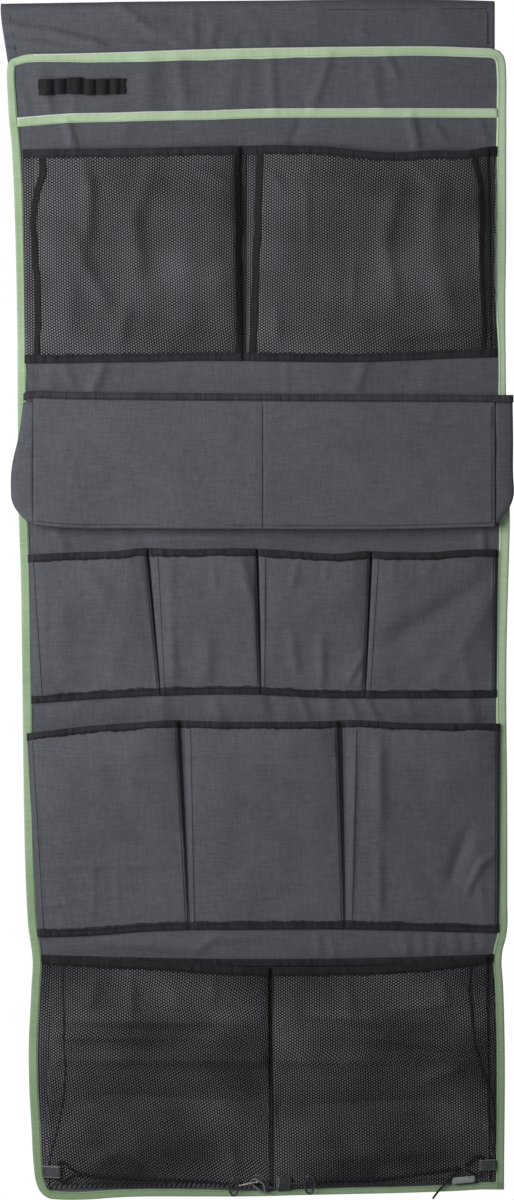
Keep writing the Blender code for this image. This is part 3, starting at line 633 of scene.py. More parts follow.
for side, sign, eye, center, route, ring in (
        ("left", -1, LEFT_EYE, LEFT_KNOT, LEFT_CORD_ROUTE, LEFT_RING),
        ("right", 1, RIGHT_EYE, RIGHT_KNOT, RIGHT_CORD_ROUTE, RIGHT_RING)):
    corner_cords(side, sign, eye, center, route, ring, hook_ring(side, -sign, ring))

limp("loose_end", "cord_tail", by_hem(np.array(RIGHT_KNOT) + TAIL_ROUTE), TAIL)

# %% [markdown]
# ## How the panel hangs
# A cloth panel is never flat. It falls in a few soft folds, and rumples a little all over. Both are reckoned once, in
# `billow`, and every piece that is sewn to the panel stands on it, so that pockets and tapes follow the same folds.
# A fold is a ridge along a short line: round across, and fading at both ends.

# %% Soft folds and rumples
WAVES = 14


def ridges(px, py, folds):
    """Metres of relief of folds (x0, y0, x1, y1, half width, height in mm): exp(-(aside/width)^2 - (along)^4)."""
    total = np.zeros(np.broadcast(px, py).shape)
    for x0, y0, x1, y1, wide, tall in folds:
        length = math.hypot(x1 - x0, y1 - y0)
        ax, ay = (x1 - x0) / length, (y1 - y0) / length
        along = 2 * ((px - x0) * ax + (py - y0) * ay) / length - 1
        aside = ((py - y0) * ax - (px - x0) * ay) / wide
        total += tall * MM * np.exp(-aside ** 2 - along ** 4)
    return total


def rumple(px, py, size, seed):
    """Soft unevenness round 0: waves of about this size in points, in directions that a fixed seed draws."""
    draw = np.random.default_rng(seed)
    turn, phase = draw.uniform(0, 2 * math.pi, (2, WAVES))
    wave = 2 * math.pi / (size * draw.uniform(0.6, 1.7, WAVES))
    total = sum(np.sin(k * (np.cos(a) * px + np.sin(a) * py) + p) for k, a, p in zip(wave, turn, phase))
    return total / math.sqrt(WAVES)


PANEL_FOLDS = [
    (147, 56, 147, 112, 11, 2.4), (178, 56, 184, 112, 8, 2.0), (238, 56, 222, 112, 9, 1.4),
    (271, 56, 274, 112, 4.5, 1.5), (252, 60, 247, 112, 6, 0.8), (330, 54, 312, 110, 5, 1.9),
    (372, 64, 378, 112, 8, 1.7), (386, 54, 399, 84, 4, 1.3), (38, 62, 46, 114, 9, 1.4), (22, 90, 28, 116, 4, 0.8),
    (76, 95, 72, 114, 5, 1.2), (46, 94, 51, 114, 4, 0.9), (66, 120, 75, 152, 4.5, 2.6), (303, 118, 290, 148, 5, -1.4),
    (410, 114, 418, 152, 5, 2.2), (433, 124, 446, 142, 4, 1.5), (478, 120, 487, 142, 4, 1.0),
    (130, 118, 118, 150, 9, 0.9), (105, 360, 90, 396, 6, 2.6), (62, 362, 74, 388, 5, 1.4), (52, 362, 50, 394, 6, 1.0),
    (24, 364, 34, 382, 4, 1.1), (286, 360, 287, 396, 3.5, 0.9), (366, 358, 354, 394, 6, 1.6),
    (180, 362, 172, 394, 9, 0.7), (430, 362, 424, 394, 9, 0.8), (54, 528, 67, 552, 5, 1.6),
    (118, 540, 134, 552, 8, 1.2), (150, 539, 235, 540, 4, 1.3), (305, 541, 470, 541, 5, -1.7),
    (481, 528, 484, 554, 4, 2.0), (158, 692, 167, 720, 8, 2.0), (212, 698, 222, 724, 7, 1.7),
    (268, 692, 277, 722, 6, -2.0), (298, 695, 310, 722, 4, 1.5), (326, 694, 330, 720, 6, 1.6),
    (364, 695, 378, 723, 4, 1.7), (345, 696, 358, 720, 4, 1.3), (464, 694, 476, 724, 7, 2.2),
    (405, 697, 412, 720, 5, 1.0), (70, 706, 120, 712, 5, 0.8), (95, 941, 195, 947, 6, 1.7),
    (194, 952, 216, 937, 4, 1.4), (212, 938, 264, 937, 4, 1.4), (316, 934, 321, 954, 4, 1.4),
    (330, 936, 335, 958, 4, 1.3), (404, 934, 407, 956, 4, 1.1), (420, 932, 423, 954, 4, 1.0),
    (436, 934, 434, 956, 4, 1.2), (452, 932, 456, 952, 4, 1.2), (468, 932, 470, 952, 4, 1.3),
    (482, 930, 484, 950, 4, 1.3), (12, 200, 14, 330, 5, 0.9), (492, 180, 496, 330, 5, 0.8),
]


def billow(px, py):
    """How far the panel itself stands forward here: its folds, and rumples of two sizes."""
    small = rumple(px, py, 46, 11) * 0.00012
    return 1.7 * ridges(px, py, PANEL_FOLDS) + rumple(px, py, 210, 5) * 0.0004 + small + 0.0004


def place(px, py, stand):
    """Points of what is sewn to the panel, from picture places. What stands forward moves in, so it shows there."""
    px, py, stand = np.broadcast_arrays(px, py, stand)
    nearer = stand / CAMERA_AWAY
    x, z = lerp(across(px), camera.location.x, nearer), lerp(height(py), camera.location.z, nearer)
    return joined(x, PANEL_FACE - stand - billow(px, py), z)


def cover(left, right, top, foot, wide, tall):
    """Picture places of a patch between two side curves of py and two level curves of px, as two (wide, tall) grids.

    wide and tall are numbers of lines, or the places of the lines: from 0 at the left to 1, and from 0 at the foot.
    """
    lines = [np.linspace(0, 1, count) if np.isscalar(count) else count for count in (wide, tall)]
    u, v = np.meshgrid(*lines, indexing="ij")
    level = (top(ROW_PX) + foot(ROW_PX)) / 2
    middle = lerp(left(level), right(level), u)
    py = lerp(foot(middle), top(middle), v)
    px = lerp(left(py), right(py), u)
    return px, lerp(foot(px), top(px), v)


print("panel folds:", len(PANEL_FOLDS))

# %% [markdown]
# ### Panel and binding
# The panel is one cut of canvas with rounded corners, narrower at the hem than at the top. Green tape is folded round
# its edge in one length, with a lapped square end at the lower right. The edge was measured as four curves. The cloth
# fills them, and the tape is a profile, down the front, round the edge and up the back, carried along them.

# %% Panel and binding
BINDING_FRONT, BINDING_BACK = 0.00065, -0.00225
left_edge = through((54.2, 30), (55.5, 21), (58, 13.5), (61, 9.4), (66, 7.8), (76, 7.2), (90, 7.8), (120, 9.4),
                    (140, 11.5), (170, 13.3), (220, 15.3), (280, 16.8), (340, 17.7), (410, 18), (520, 19.3),
                    (580, 21.3), (640, 22.2), (740, 23.4), (820, 24.5), (900, 27), (930, 29), (946, 31.5),
                    (957, 32.8), (990, 31.6), (1050, 29), (1090, 29.7), (1130, 32), (1165, 34), (1182, 36.4),
                    (1189, 39), (1194, 42.4), (1198, 48))
right_edge = through((48.6, 493), (50.4, 499), (55, 503), (61, 505), (72, 505.8), (110, 506), (170, 506),
                     (240, 505.9), (300, 505.1), (380, 505.6), (410, 506), (520, 509.6), (580, 508), (640, 506.4),
                     (700, 506), (780, 506.8), (900, 507), (930, 506.8), (939, 505.4), (948, 502.6), (957, 501.4),
                     (985, 502.8), (1010, 503.7), (1190, 503.8))
top_edge = through((30, 54.2), (60, 53.8), (120, 52.2), (200, 49.4), (254, 48.2), (380, 46.6), (430, 46.4),
                   (470, 47.6), (493, 48.6))
hem_edge = through((48, 1198.4), (64, 1199.4), (84, 1199.3), (120, 1197), (200, 1196.2), (254, 1196), (300, 1194.8),
                   (340, 1194), (420, 1192), (460, 1190.4), (480, 1189.2), (504, 1189.4))


def inset(curve, by):
    """The same curve, moved by a number of points."""
    return lambda x: curve(x) + by


def straight(px):
    """A level or upright edge: the same value everywhere."""
    return lambda x: px + 0 * np.asarray(x, float)


# Lines lie close together where the panel shows between pockets, and far apart behind them.
fine = np.interp(np.linspace(1199, 48, 400),
                 [50, 54, 148, 156, 354, 362, 394, 402, 520, 528, 556, 564, 684, 692, 728, 736, 922, 930, 964, 972],
                 [2.5, 1, 1, 0.25, 0.25, 1, 1, 0.25, 0.25, 1, 1, 0.25, 0.25, 1, 1, 0.25, 0.25, 1, 1, 0.3])
lines = np.interp(np.linspace(0, 1, 210), np.cumsum(fine) / fine.sum(), np.linspace(0, 1, 400))
lines[[0, -1]] = 0, 1
px, py = cover(inset(left_edge, 1.2), inset(right_edge, -1.2), inset(top_edge, 1.2), inset(hem_edge, -1.2), 200, lines)
panel = shell("panel_canvas", place(px, py, -PANEL_THICKNESS / 2), PANEL_THICKNESS, canvas)
sewn(panel, "back_panel", flat=(0.5745, 1.348), held="hung", rests_on=["head_cloth"])


def edge_line():
    """The panel's edge from the right end of the hem, round the left side and over the top to the lower right."""
    hem_x = np.linspace(502.5, 50, 90)
    left_y = np.linspace(1196.5, 55, 260)
    top_x = np.linspace(31, 492, 90)
    right_y = np.linspace(49.5, 1189.5, 260)
    line = np.concatenate([joined(hem_x, hem_edge(hem_x)), joined(left_edge(left_y), left_y),
                           joined(top_x, top_edge(top_x)), joined(right_edge(right_y), right_y)])
    return soften(evenly(line, 2.2), 2)


def inwards(line):
    """The direction of a line at each of its points, turned a quarter."""
    ahead = unit(np.gradient(line, axis=0))
    return joined(-ahead[:, 1], ahead[:, 0])


def tape_round(name, line, width, profile, finish, seed):
    """A folded tape: profile points (share of its width inwards, stand) carried along a line of picture places.

    Its free edge wanders a little.
    """
    share, stand = np.array(profile).T
    wander = 1 + 0.016 * rumple(line[:, 0], line[:, 1], 34, seed)
    reach = (width * wander)[:, None] * share
    px, py = (line[:, k:k + 1] + inwards(line)[:, k:k + 1] * reach for k in (0, 1))
    turn = run_length(joined(share * np.mean(width) * POINT, stand))
    return shell(name, place(px, py, stand), TAPE, finish, cloth=joined(run_length(line)[:, None] * POINT, turn * 0.02))


rim = edge_line()
rim_width = through((0, 7.4), (20, 6.8), (60, 6.0), (150, 6.0), (200, 5.6), (232, 4.9), (262, 5.6), (300, 6.8),
                    (400, 7.6), (440, 8.0), (480, 8.6), (700, 8.8), (1130, 9.2), (1300, 8.6), (1560, 8.0),
                    (1590, 7.6), (1640, 8.2), (1700, 9.8), (2020, 9.6), (2120, 9.2), (2350, 9.4), (2385, 7.0),
                    (2430, 7.4), (2500, 9.8), (2560, 10.4), (2720, 10.0), (2950, 8.8), (3300, 7.6))(run_length(rim))
FOLD_OUT = [*((share, BINDING_FRONT) for share in (1.0, 0.75, 0.5, 0.25, 0.09)), (0.02, 0.0003), (0.0, -0.0006),
            (0.02, -0.0017), *((share, BINDING_BACK) for share in (0.09, 0.4, 0.7, 1.0))]
sewn(tape_round("green_binding", rim, rim_width, FOLD_OUT, green_tape, 3), "edge_binding")
print("binding", round(run_length(rim)[-1] * POINT, 2), "m long")

# %% [markdown]
# ### Level tapes on the panel
# The second green tape lies across the panel under the band. It is sewn down along both edges, so it follows the
# panel's folds, and its edges sink a little where the thread pulls them.

# %% Green bar
bar_top = through((16, 117.8), (40, 115.8), (60, 114.2), (120, 112.5), (160, 111.3), (210, 110.4), (254, 108.8),
                  (340, 108.3), (500, 108.3))
bar_foot = inset(bar_top, 9.4)


def flat_tape(name, left, right, top, foot, stand, finish, wide, tall=7, thickness=TAPE):
    """A tape laid flat between two level curves, crowned by a little between its sewn edges."""
    px = np.linspace(left, right, wide)[:, None]
    v = np.linspace(0, 1, tall)[None]
    py = lerp(foot(px), top(px), v)
    points = place(px, py, stand + 0.0003 * np.sin(math.pi * v) ** 0.6)
    return shell(name, points, thickness, finish, cloth=joined(across(px), 0.001 * v))


sewn(flat_tape("green_bar", 17, 498, bar_top, bar_foot, 0.0006, green_tape, 160), "header_bar")
# Thin pale strips along the upper edges of the green bar and of the top binding: painted highlights.
flat_tape("bar_painted_highlight", 17.5, 497, bar_top, inset(bar_top, 1.5), 0.0012, painted_tape_highlight, 160, 3, 0.0004)
flat_tape("top_painted_highlight", 34, 494, top_edge, inset(top_edge, 1.4), 0.0012, painted_tape_highlight, 160, 3, 0.0004)
print("green bar", round((498 - 17) * POINT, 3), "m long")

# %% [markdown]
# ### Pen loops
# A strip of black elastic is tacked down at seven places, and bulges into six loops, each wide enough for a pen. Its
# section is a half wave between tacks. The strip's ends are raw, so they fray.

# %% Pen loops
TACKS = (40.5, 53.9, 66.3, 83.3, 95.8, 109.3, 119.4)
PEN_BELLY, ELASTIC = 0.0075, 0.0011


def pen_strip():
    """Stations (px, stand) across the loops: between tacks the elastic stands up as the root of a half wave."""
    t = np.linspace(0, 1, 13)[:-1]
    tacks = np.array(TACKS)
    px = (tacks[:-1, None] + np.diff(tacks)[:, None] * t).ravel()
    tall = PEN_BELLY * np.array([0.8, 0.95, 1.0, 0.9, 1.0, 0.7])
    stand = (np.sin(math.pi * t) ** 0.75 * tall[:, None]).ravel()
    px = np.concatenate([[38.6, 39.6], px, [TACKS[-1], 121, 123, 125.6]])
    stand = np.concatenate([[0.0002, 0], stand, [0, 0, 0.0002, 0.0006]])
    return px, soften(stand, 1) + 0.0009


px, stand = pen_strip()
steps = (np.array(TACKS)[1:-1, None] + (-0.4, 0.4)).ravel()
rise, sink = [np.interp(px, steps, np.repeat(by_loop, 2)[1:-1])
              for by_loop in ([0.9, 0.2, -0.9, 1.0, 0.6, 0.0], [0.6, -1.0, -0.9, 0.4, -0.4, -0.6])]
v = np.linspace(0, 1, 15)
grid_px = px[:, None] + 0 * v
grid_px[[0, -1]] += np.random.default_rng(8).uniform(-0.9, 0.9, (2, 15))
top, foot = 78.6 + rise, 94.8 + sink
pinch = (stand - 0.0009) / PEN_BELLY
grid_py = lerp((foot + 0.3 * pinch)[:, None], (top - 0.2 * pinch)[:, None], v)
grid_py[:, 0] += np.random.default_rng(9).uniform(-0.7, 0.5, px.shape) * (px < 60)
flat = joined(run_length(joined(across(px), stand))[:, None], 0.001 * v)
sewn(shell("pen_elastic", place(grid_px, grid_py, stand[:, None]), ELASTIC, black_elastic, cloth=flat), "pen_loops")
print("pen loops:", len(TACKS) - 1)

# %% [markdown]
# ## Patch pockets
# A patch pocket of this kind is wider than its place. At each side the cloth runs in along the panel to a hidden fold,
# back out to the pocket's edge, and then over the front, so that the pocket can swell. One function gives that path
# across a pocket at each height. The front stands out most at the mouth and lies flat at the foot.

# %% The path across a pocket
PLEAT_STATIONS, TAPE_OFF = 5, 0.00095


def pocket_path(sides, v, belly, fullness, face, lip):
    """Places (px, stand) across a pocket at heights v from 0, its foot, to 1, its mouth.

    Each side gives seam, edge and inner fold as (mouth, foot) px. The stand grows up the pocket as a quarter wave
    to the power of its fullness. Across the front it is a broad half wave, of which lip is the share at the edges.
    The third value is 1 where the cloth is free to wrinkle and 0 at its pleats.
    """
    swell = belly * np.sin(math.pi / 2 * v) ** fullness
    left, right = [[lerp(foot, mouth, v) for mouth, foot in side] for side in sides]
    t = np.linspace(0, 1, PLEAT_STATIONS)[:-1, None]
    u = np.linspace(0, 1, face)[:, None]
    low, high, deep = 0.0009 + 0 * v, 0.0019 + lip * swell, 0.0012 + 0.4 * lip * swell
    front = high + (0.0004 + (1 - lip) * swell) * np.sin(math.pi / 2 * np.minimum(1, np.minimum(u, 1 - u) * 5)) ** 0.8
    pleats = [np.concatenate([lerp(seam, fold, t), lerp(fold, edge, t)]) for seam, edge, fold in (
        left, right, (low, high, deep))]
    px = np.concatenate([pleats[0], lerp(left[1], right[1], u), pleats[1][::-1]])
    stand = np.concatenate([pleats[2], front, pleats[2][::-1]])
    free = np.pad(np.clip(np.minimum(u, 1 - u) * 24, 0, 1) + 0 * v, ((2 * len(t), 2 * len(t)), (0, 0)))
    return soften(px, 1), soften(stand, 2), free


class Row:
    """One row of pockets: the curves of its mouth and foot, both sides of each pocket, and its wrinkles."""

    def __init__(self, top, foot, pockets, belly, fullness, folds, seed, tape=8.0, lip=0.5, rise=1.6, limits=None):
        self.top, self.foot, self.pockets, self.limits = top, foot, pockets, limits
        self.belly, self.fullness, self.folds, self.seed, self.tape = belly, fullness, folds, seed, tape
        self.lip, self.rise = lip, rise
        self.tall = foot(ROW_PX) - top(ROW_PX)

    def front(self, pocket, v, face):
        """Picture places and stands of one pocket's cloth, with its wrinkles, which fade at the sewn edges."""
        px, stand, free = pocket_path(self.pockets[pocket], v, self.belly, self.fullness, face, self.lip)
        py = lerp(self.foot(px), self.top(px), v)
        if self.limits:
            px = np.clip(px, self.limits[0](py), self.limits[1](py))
        loose = np.clip(np.sin(math.pi * v) * 2.2, 0, 1) * free
        wrinkles = self.rise * ridges(px, py, self.folds) + rumple(px, py, 45, self.seed) * 0.0006
        wrinkles = wrinkles + rumple(px, py, 150, self.seed + 1) * 0.0008
        return px, py, np.maximum(stand + wrinkles * loose, 0.0006)

    def cloth(self, name, node, pocket, finish, thickness=CLOTH * 0.8, face=64, rows=84):
        """One pocket's cloth as a shell, from just above its foot to just under its mouth."""
        v = np.linspace(0.008, 0.994, rows)[None]
        px, py, stand = self.front(pocket, v, face)
        points = place(px, py, stand)
        along = np.concatenate([np.zeros((1, rows)), np.cumsum(np.linalg.norm(np.diff(points, axis=0), axis=-1), 0)])
        made = shell(name, points, thickness, finish, cloth=joined(along, points[..., 2]))
        flat = float(along[-1].mean()), float(self.tall * POINT)
        return sewn(made, node, flat=flat, held="stretched", rests_on=["panel_canvas"])

    def stations(self, v, face):
        """The paths of all pockets of the row, one after the other, at heights v."""
        parts = [self.front(pocket, v, face) for pocket in range(len(self.pockets))]
        return [np.concatenate(part) for part in zip(*parts)]

    def edge_tape(self, name, node, mouth, finish, face=64, width=None):
        """Tape folded over the mouth or the foot of the whole row: along the cloth's path, off it on both sides."""
        lap, ease = (width or self.tape) / self.tall, 0.6 / self.tall
        drop = np.array([lap, 0.66 * lap, 0.33 * lap, ease, 0.0, -0.4 * ease, 0.0, ease, 0.5 * lap, lap])
        off = np.array([1.0, 1.05, 1.05, 1.0, 0.8, 0.0, -0.8, -1.0, -1.0, -1.0]) * TAPE_OFF
        if not mouth:
            drop, off = drop[::-1], off[::-1]
        v = (1 - drop if mouth else drop)[None]
        px, py, stand = self.stations(np.clip(v, 0, 1), face)
        ragged = rumple(px, 60 * v, 8, self.seed + 2) + rumple(px, 60 * v, 30, self.seed + 3)
        py = lerp(self.foot(px), self.top(px), v) + 0.42 * ragged * drop / lap
        x, s = soften(across(px), 1), soften(stand, 1)
        dx, ds = np.gradient(x, axis=0), np.gradient(s, axis=0)
        size = np.maximum(np.hypot(dx, ds), 1e-9)
        px = px + soften(-ds / size * off, 2) / POINT
        stand = np.maximum(soften(stand + dx / size * off, 1), 0.0004)
        length = np.cumsum(np.hypot(np.diff(x, axis=0, prepend=x[:1]), np.diff(s, axis=0, prepend=s[:1])), 0)
        return sewn(shell(name, place(px, py, stand), TAPE, finish, cloth=joined(length, 0.02 * v)), node)

    def on_front(self, pocket, px, v, lift):
        """Points on a pocket's front, a lift above it, from an (n, m) grid of px and its m heights v."""
        front_px, _, stand = self.front(pocket, v[None], 110)
        lifts = joined(*(np.interp(px[:, k], front_px[8:-8, k], stand[8:-8, k]) for k in range(len(v))))
        return place(px, lerp(self.foot(px), self.top(px), v[None]), lifts + lift)

    def pleat_band(self, name, pocket, right, finish, shares, lean):
        """The hidden layers of a net's pleat, which darken it between its edge and its inner fold.

        shares are the band's sides, from 0 at the edge to 1 at the fold, and lean moves it by a number of px at a py.
        """
        v = np.linspace(0.0, 0.985, 60)
        _, edge, fold = self.pockets[pocket][1 if right else 0]
        px = lerp(lerp(edge[1], edge[0], v), lerp(fold[1], fold[0], v), np.linspace(*shares, 5)[:, None])
        px = px + lean(lerp(self.foot(ROW_PX), self.top(ROW_PX), v)) + 0.5 * rumple(px, 200 * v, 40, self.seed)
        return shell(name, self.on_front(pocket, px, v, 0.0009), 0.0003, finish)

    def side_seam(self, pocket, right):
        """A line down a pocket's front for stitches: just inside its right edge, or along its left inner fold."""
        v = np.linspace(0.02, 0.96, 60)
        line = self.pockets[pocket][1][1] if right else self.pockets[pocket][0][2]
        px = (lerp(line[1], line[0], v) - (3.0 if right else 0))[None]
        return self.on_front(pocket, px, v, 0.0007)[0]


print("stations across a pleat:", 2 * (PLEAT_STATIONS - 1))

# %% [markdown]
# ### Upper mesh pockets
# Two wide pockets of net fill the first row. Their pleats lie in three layers, which show as dark bands in the net,
# and the net is slack, so it sags in long soft creases.

# %% Upper mesh pockets
NET_FOLDS = [
    (226, 160, 224, 350, 42, 4.5), (62, 250, 50, 350, 22, 3.0), (118, 196, 150, 330, 15, 2.5),
    (470, 160, 478, 350, 42, 5.0), (268, 270, 274, 352, 24, 3.0), (80, 146, 90, 195, 7, 3.4),
    (90, 180, 87, 242, 7, 4.0), (74, 232, 85, 268, 8, 2.8), (80, 260, 109, 308, 8, 3.4), (157, 148, 134, 218, 9, 3.0),
    (133, 210, 140, 270, 9, 3.0), (128, 298, 118, 354, 8, 3.4), (70, 268, 69, 352, 10, 2.2),
    (187, 188, 180, 352, 14, 2.6), (196, 170, 231, 182, 5, 1.9), (270, 170, 283, 190, 5, 1.9),
    (308, 158, 310, 176, 5, 1.7), (306, 182, 308, 248, 4, 1.3), (409, 156, 431, 184, 6, 2.6),
    (380, 158, 393, 174, 5, 1.6), (401, 178, 383, 242, 9, 3.4), (383, 236, 397, 304, 8, 3.0),
    (441, 176, 427, 244, 11, 4.0), (427, 238, 453, 322, 13, 4.2), (476, 186, 484, 306, 5, 2.2),
    (372, 339, 467, 331, 6, 2.4), (354, 260, 353, 304, 4, 1.4), (60, 160, 76, 150, 4, 1.2),
    (205, 240, 214, 260, 10, 1.4), (320, 300, 330, 350, 12, 1.4), (276, 306, 278, 350, 5, 1.5),
]
mesh_row = Row(
    through((21, 150), (60, 149.6), (140, 148.6), (215, 147), (290, 146), (330, 147.5), (375, 152.4), (400, 153),
            (430, 151), (470, 150.6), (486, 147.6), (499, 146.6)),
    through((25, 363), (90, 362.2), (140, 361.4), (200, 360.3), (254, 360.6), (365, 361.4), (420, 359.4), (460, 357.6),
            (498, 356.8)),
    [[((22.5, 24.5), (34.6, 34.2), (42.4, 41.2)), ((246.6, 246.0), (239.8, 243.0), (233.0, 235.0))],
     [((247.4, 246.6), (257.0, 249.0), (265, 257.5)), ((497.0, 496.4), (489, 493), (477.5, 484))]],
    0.0125, 0.8, NET_FOLDS, 21, lip=0.25, rise=1.3)
PLEAT_SHARES = [[(0.06, 0.9), (0.0, 0.9)], [(0.0, 0.85), (0.5, 1.0)]]
left_lean = through((150, 2.5), (160, 4.5), (169, 4.5), (184, 0), (300, 0), (355, -1))
right_lean = through((150, -6), (170, -3.5), (200, 0), (214, 0.5), (240, -1), (355, -1))
for pocket, name in enumerate(("left", "right")):
    mesh_row.cloth(f"net_{name}", f"mesh_pocket_{name}", pocket, mesh_net, 0.0005, 110, 104)
    for end, right in (("a", False), ("b", True)):
        mesh_row.pleat_band(f"pleat_{name}_{end}", pocket, right, net_layers, PLEAT_SHARES[pocket][right],
                            ((left_lean, straight(0)), (straight(0), right_lean))[pocket][right])
mesh_row.edge_tape("net_mouth_tape", "mesh_mouth_tape", True, black_tape, 110, 8.4)
mesh_row.edge_tape("net_foot_tape", "mesh_foot_tape", False, black_tape, 110, 8.2)
print("upper mesh pockets and their tapes")

# %% [markdown]
# ### Small pockets
# The third row has four canvas pockets. Their seams lean inwards towards the foot, and where two pockets meet, a
# narrow gap shows between their edges. The hidden folds press through as faint upright lines.

# %% Small pockets


def puckers(curve, start, end, seed, step=10.0):
    """Short upright puckers just below a tape, where its thread gathers the cloth: drawn by a fixed seed."""
    draw = np.random.default_rng(seed)
    places = np.arange(start, end, step) + draw.uniform(-3, 3)
    return [(x, float(curve(x)) + 4, x + draw.uniform(-4, 2), float(curve(x)) + draw.uniform(14, 24),
             draw.uniform(1.8, 3.0), draw.uniform(0.25, 0.6)) for x in places]


SMALL_FOLDS = [
    (33, 600, 42, 694, 1.8, 0.8), (44, 585, 45, 672, 5, 1.0), (86, 572, 111, 602, 9, 1.8),
    (140, 556, 158, 688, 2.2, 0.7), (157.5, 556, 166, 690, 2.0, 0.7), (170, 552, 172, 694, 6, 1.2),
    (240, 556, 255, 614, 6, 1.6), (206, 632, 208, 694, 8, 1.8), (255, 596, 256, 692, 8, 1.4),
    (172, 636, 174, 688, 5, 1.2), (264, 552, 264.5, 640, 1.6, 0.9), (301, 554, 292, 586, 4, 1.5),
    (329, 552, 326, 578, 4, 1.2), (291, 632, 297, 676, 5, 1.5), (322, 636, 321, 694, 5, 1.8),
    (367, 648, 346, 686, 4, 1.5), (371, 662, 353, 694, 3.5, 1.2), (384, 646, 488, 582, 12, -4.2),
    (426, 696, 494, 598, 9, 1.4), (395, 556, 392, 580, 4, 1.0), (60, 640, 70, 690, 12, 1.2),
    (110, 640, 120, 690, 13, 1.3), (435, 556, 426, 576, 4, 1.0), (60, 600, 66, 640, 10, 1.2),
    (215, 562, 214, 590, 5, 1.0), (460, 640, 470, 690, 7, 1.2),
]
small_top = through((27, 555.4), (80, 552.6), (115, 551.6), (143, 548.6), (170, 549.6), (254, 549.2), (300, 552.2),
                    (340, 554.2), (365, 551.6), (385, 552.4), (430, 552.8), (470, 550), (497, 550))
small_row = Row(
    small_top,
    through((31, 703), (90, 698.5), (160, 695), (254, 693.8), (320, 697), (400, 697.5), (498, 697)),
    [[((28.0, 31.4), (29.4, 32.4), (33, 42.5)), ((147.4, 161.0), (147.0, 160.8), (139, 157.5))],
     [((147.8, 161.2), (148.2, 161.4), (157.5, 165)), ((257.2, 261.2), (256.9, 261.0), (249, 256))],
     [((257.6, 261.4), (257.9, 261.6), (265.5, 264.5)), ((371.4, 365.2), (371.1, 365.0), (364.5, 361.5))],
     [((371.8, 365.4), (372.1, 365.6), (379, 370)), ((497.4, 496.6), (496.2, 495.4), (490, 491))]],
    0.0090, 0.9, SMALL_FOLDS + puckers(small_top, 40, 140, 5) + puckers(small_top, 175, 250, 6)
    + puckers(small_top, 275, 360, 7) + puckers(small_top, 385, 485, 8), 31, 7.2, lip=0.4)
for pocket in range(4):
    small_row.cloth(f"small_canvas_{pocket + 1}", f"small_pocket_{pocket + 1}", pocket, canvas)
for end in ("mouth", "foot"):
    small_row.edge_tape(f"small_row_{end}_tape", f"small_{end}_tape", end == "mouth", black_tape)
print("small pockets:", len(small_row.pockets))

# %% [markdown]
# ### Tall pockets
# Three taller canvas pockets make the fourth row. They are made as the small ones are, with a fuller mouth.

# %% Tall pockets
TALL_FOLDS = [
    (30, 752, 500, 744, 9, 1.4), (35, 780, 44, 932, 1.8, 0.8), (186, 730, 193, 922, 2.0, 0.9),
    (356, 726, 351, 922, 2.6, 1.6), (45, 867, 160, 865, 3.5, 1.2), (44, 907, 74, 902, 3.5, 1.2),
    (93, 858, 94, 922, 2.6, 0.7), (117, 866, 118, 922, 2.6, 0.7), (58, 842, 122, 828, 14, 1.6),
    (379, 728, 380, 830, 6, 2.6), (379, 850, 380, 926, 5, 1.9), (470, 826, 449, 884, 7, -2.8),
    (467, 892, 483, 860, 4, 2.2), (479, 865, 500, 852, 4, 1.8), (440, 790, 470, 740, 14, 1.2),
    (220, 770, 300, 790, 16, 1.4), (215, 890, 320, 880, 12, 1.2), (410, 870, 430, 920, 10, 1.4),
    (130, 760, 160, 740, 12, 1.2), (250, 820, 290, 860, 14, 1.2), (480, 880, 484, 922, 5, 1.4),
    (60, 760, 110, 790, 16, 1.0),
]
tall_top = through((26, 734), (90, 726.4), (140, 722.8), (172, 720.6), (200, 721.6), (254, 722.3), (320, 721.8),
                   (350, 720.6), (400, 723), (500, 724))
tall_row = Row(
    tall_top,
    through((37, 936.6), (90, 934.8), (145, 930.6), (200, 929), (254, 928.7), (355, 928.7), (430, 930.4), (500, 932.2)),
    [[((27.0, 37.6), (28.8, 38.6), (32, 44)), ((180, 190), (177.6, 188.8), (172, 186))],
     [((180.6, 190.4), (183.6, 191.4), (190.5, 194.5)), ((341.6, 345.4), (337.6, 344.6), (332, 341))],
     [((342.2, 345.8), (345.0, 346.8), (357, 352)), ((500.0, 499.2), (498.8, 498.0), (493, 491))]],
    0.0105, 0.9, TALL_FOLDS + puckers(tall_top, 45, 170, 15, 17) + puckers(tall_top, 200, 330, 16, 18)
    + puckers(tall_top, 365, 490, 17, 16), 41, 6.6)
for pocket in range(3):
    tall_row.cloth(f"tall_canvas_{pocket + 1}", f"tall_pocket_{pocket + 1}", pocket, canvas, face=84, rows=104)
tall_row.edge_tape("tall_row_mouth_tape", "tall_mouth_tape", True, black_tape, 84)
tall_row.edge_tape("tall_row_foot_tape", "tall_foot_tape", False, black_tape, 84, 7.4)
print("tall pockets:", len(tall_row.pockets))

# %% [markdown]
# ### Lower mesh pockets
# The last row is two deep pockets of the same net, with a mouth of black elastic that sags away from the panel. Behind
# it a flat tape is sewn to the panel, and a third tape holds both pockets down between them.

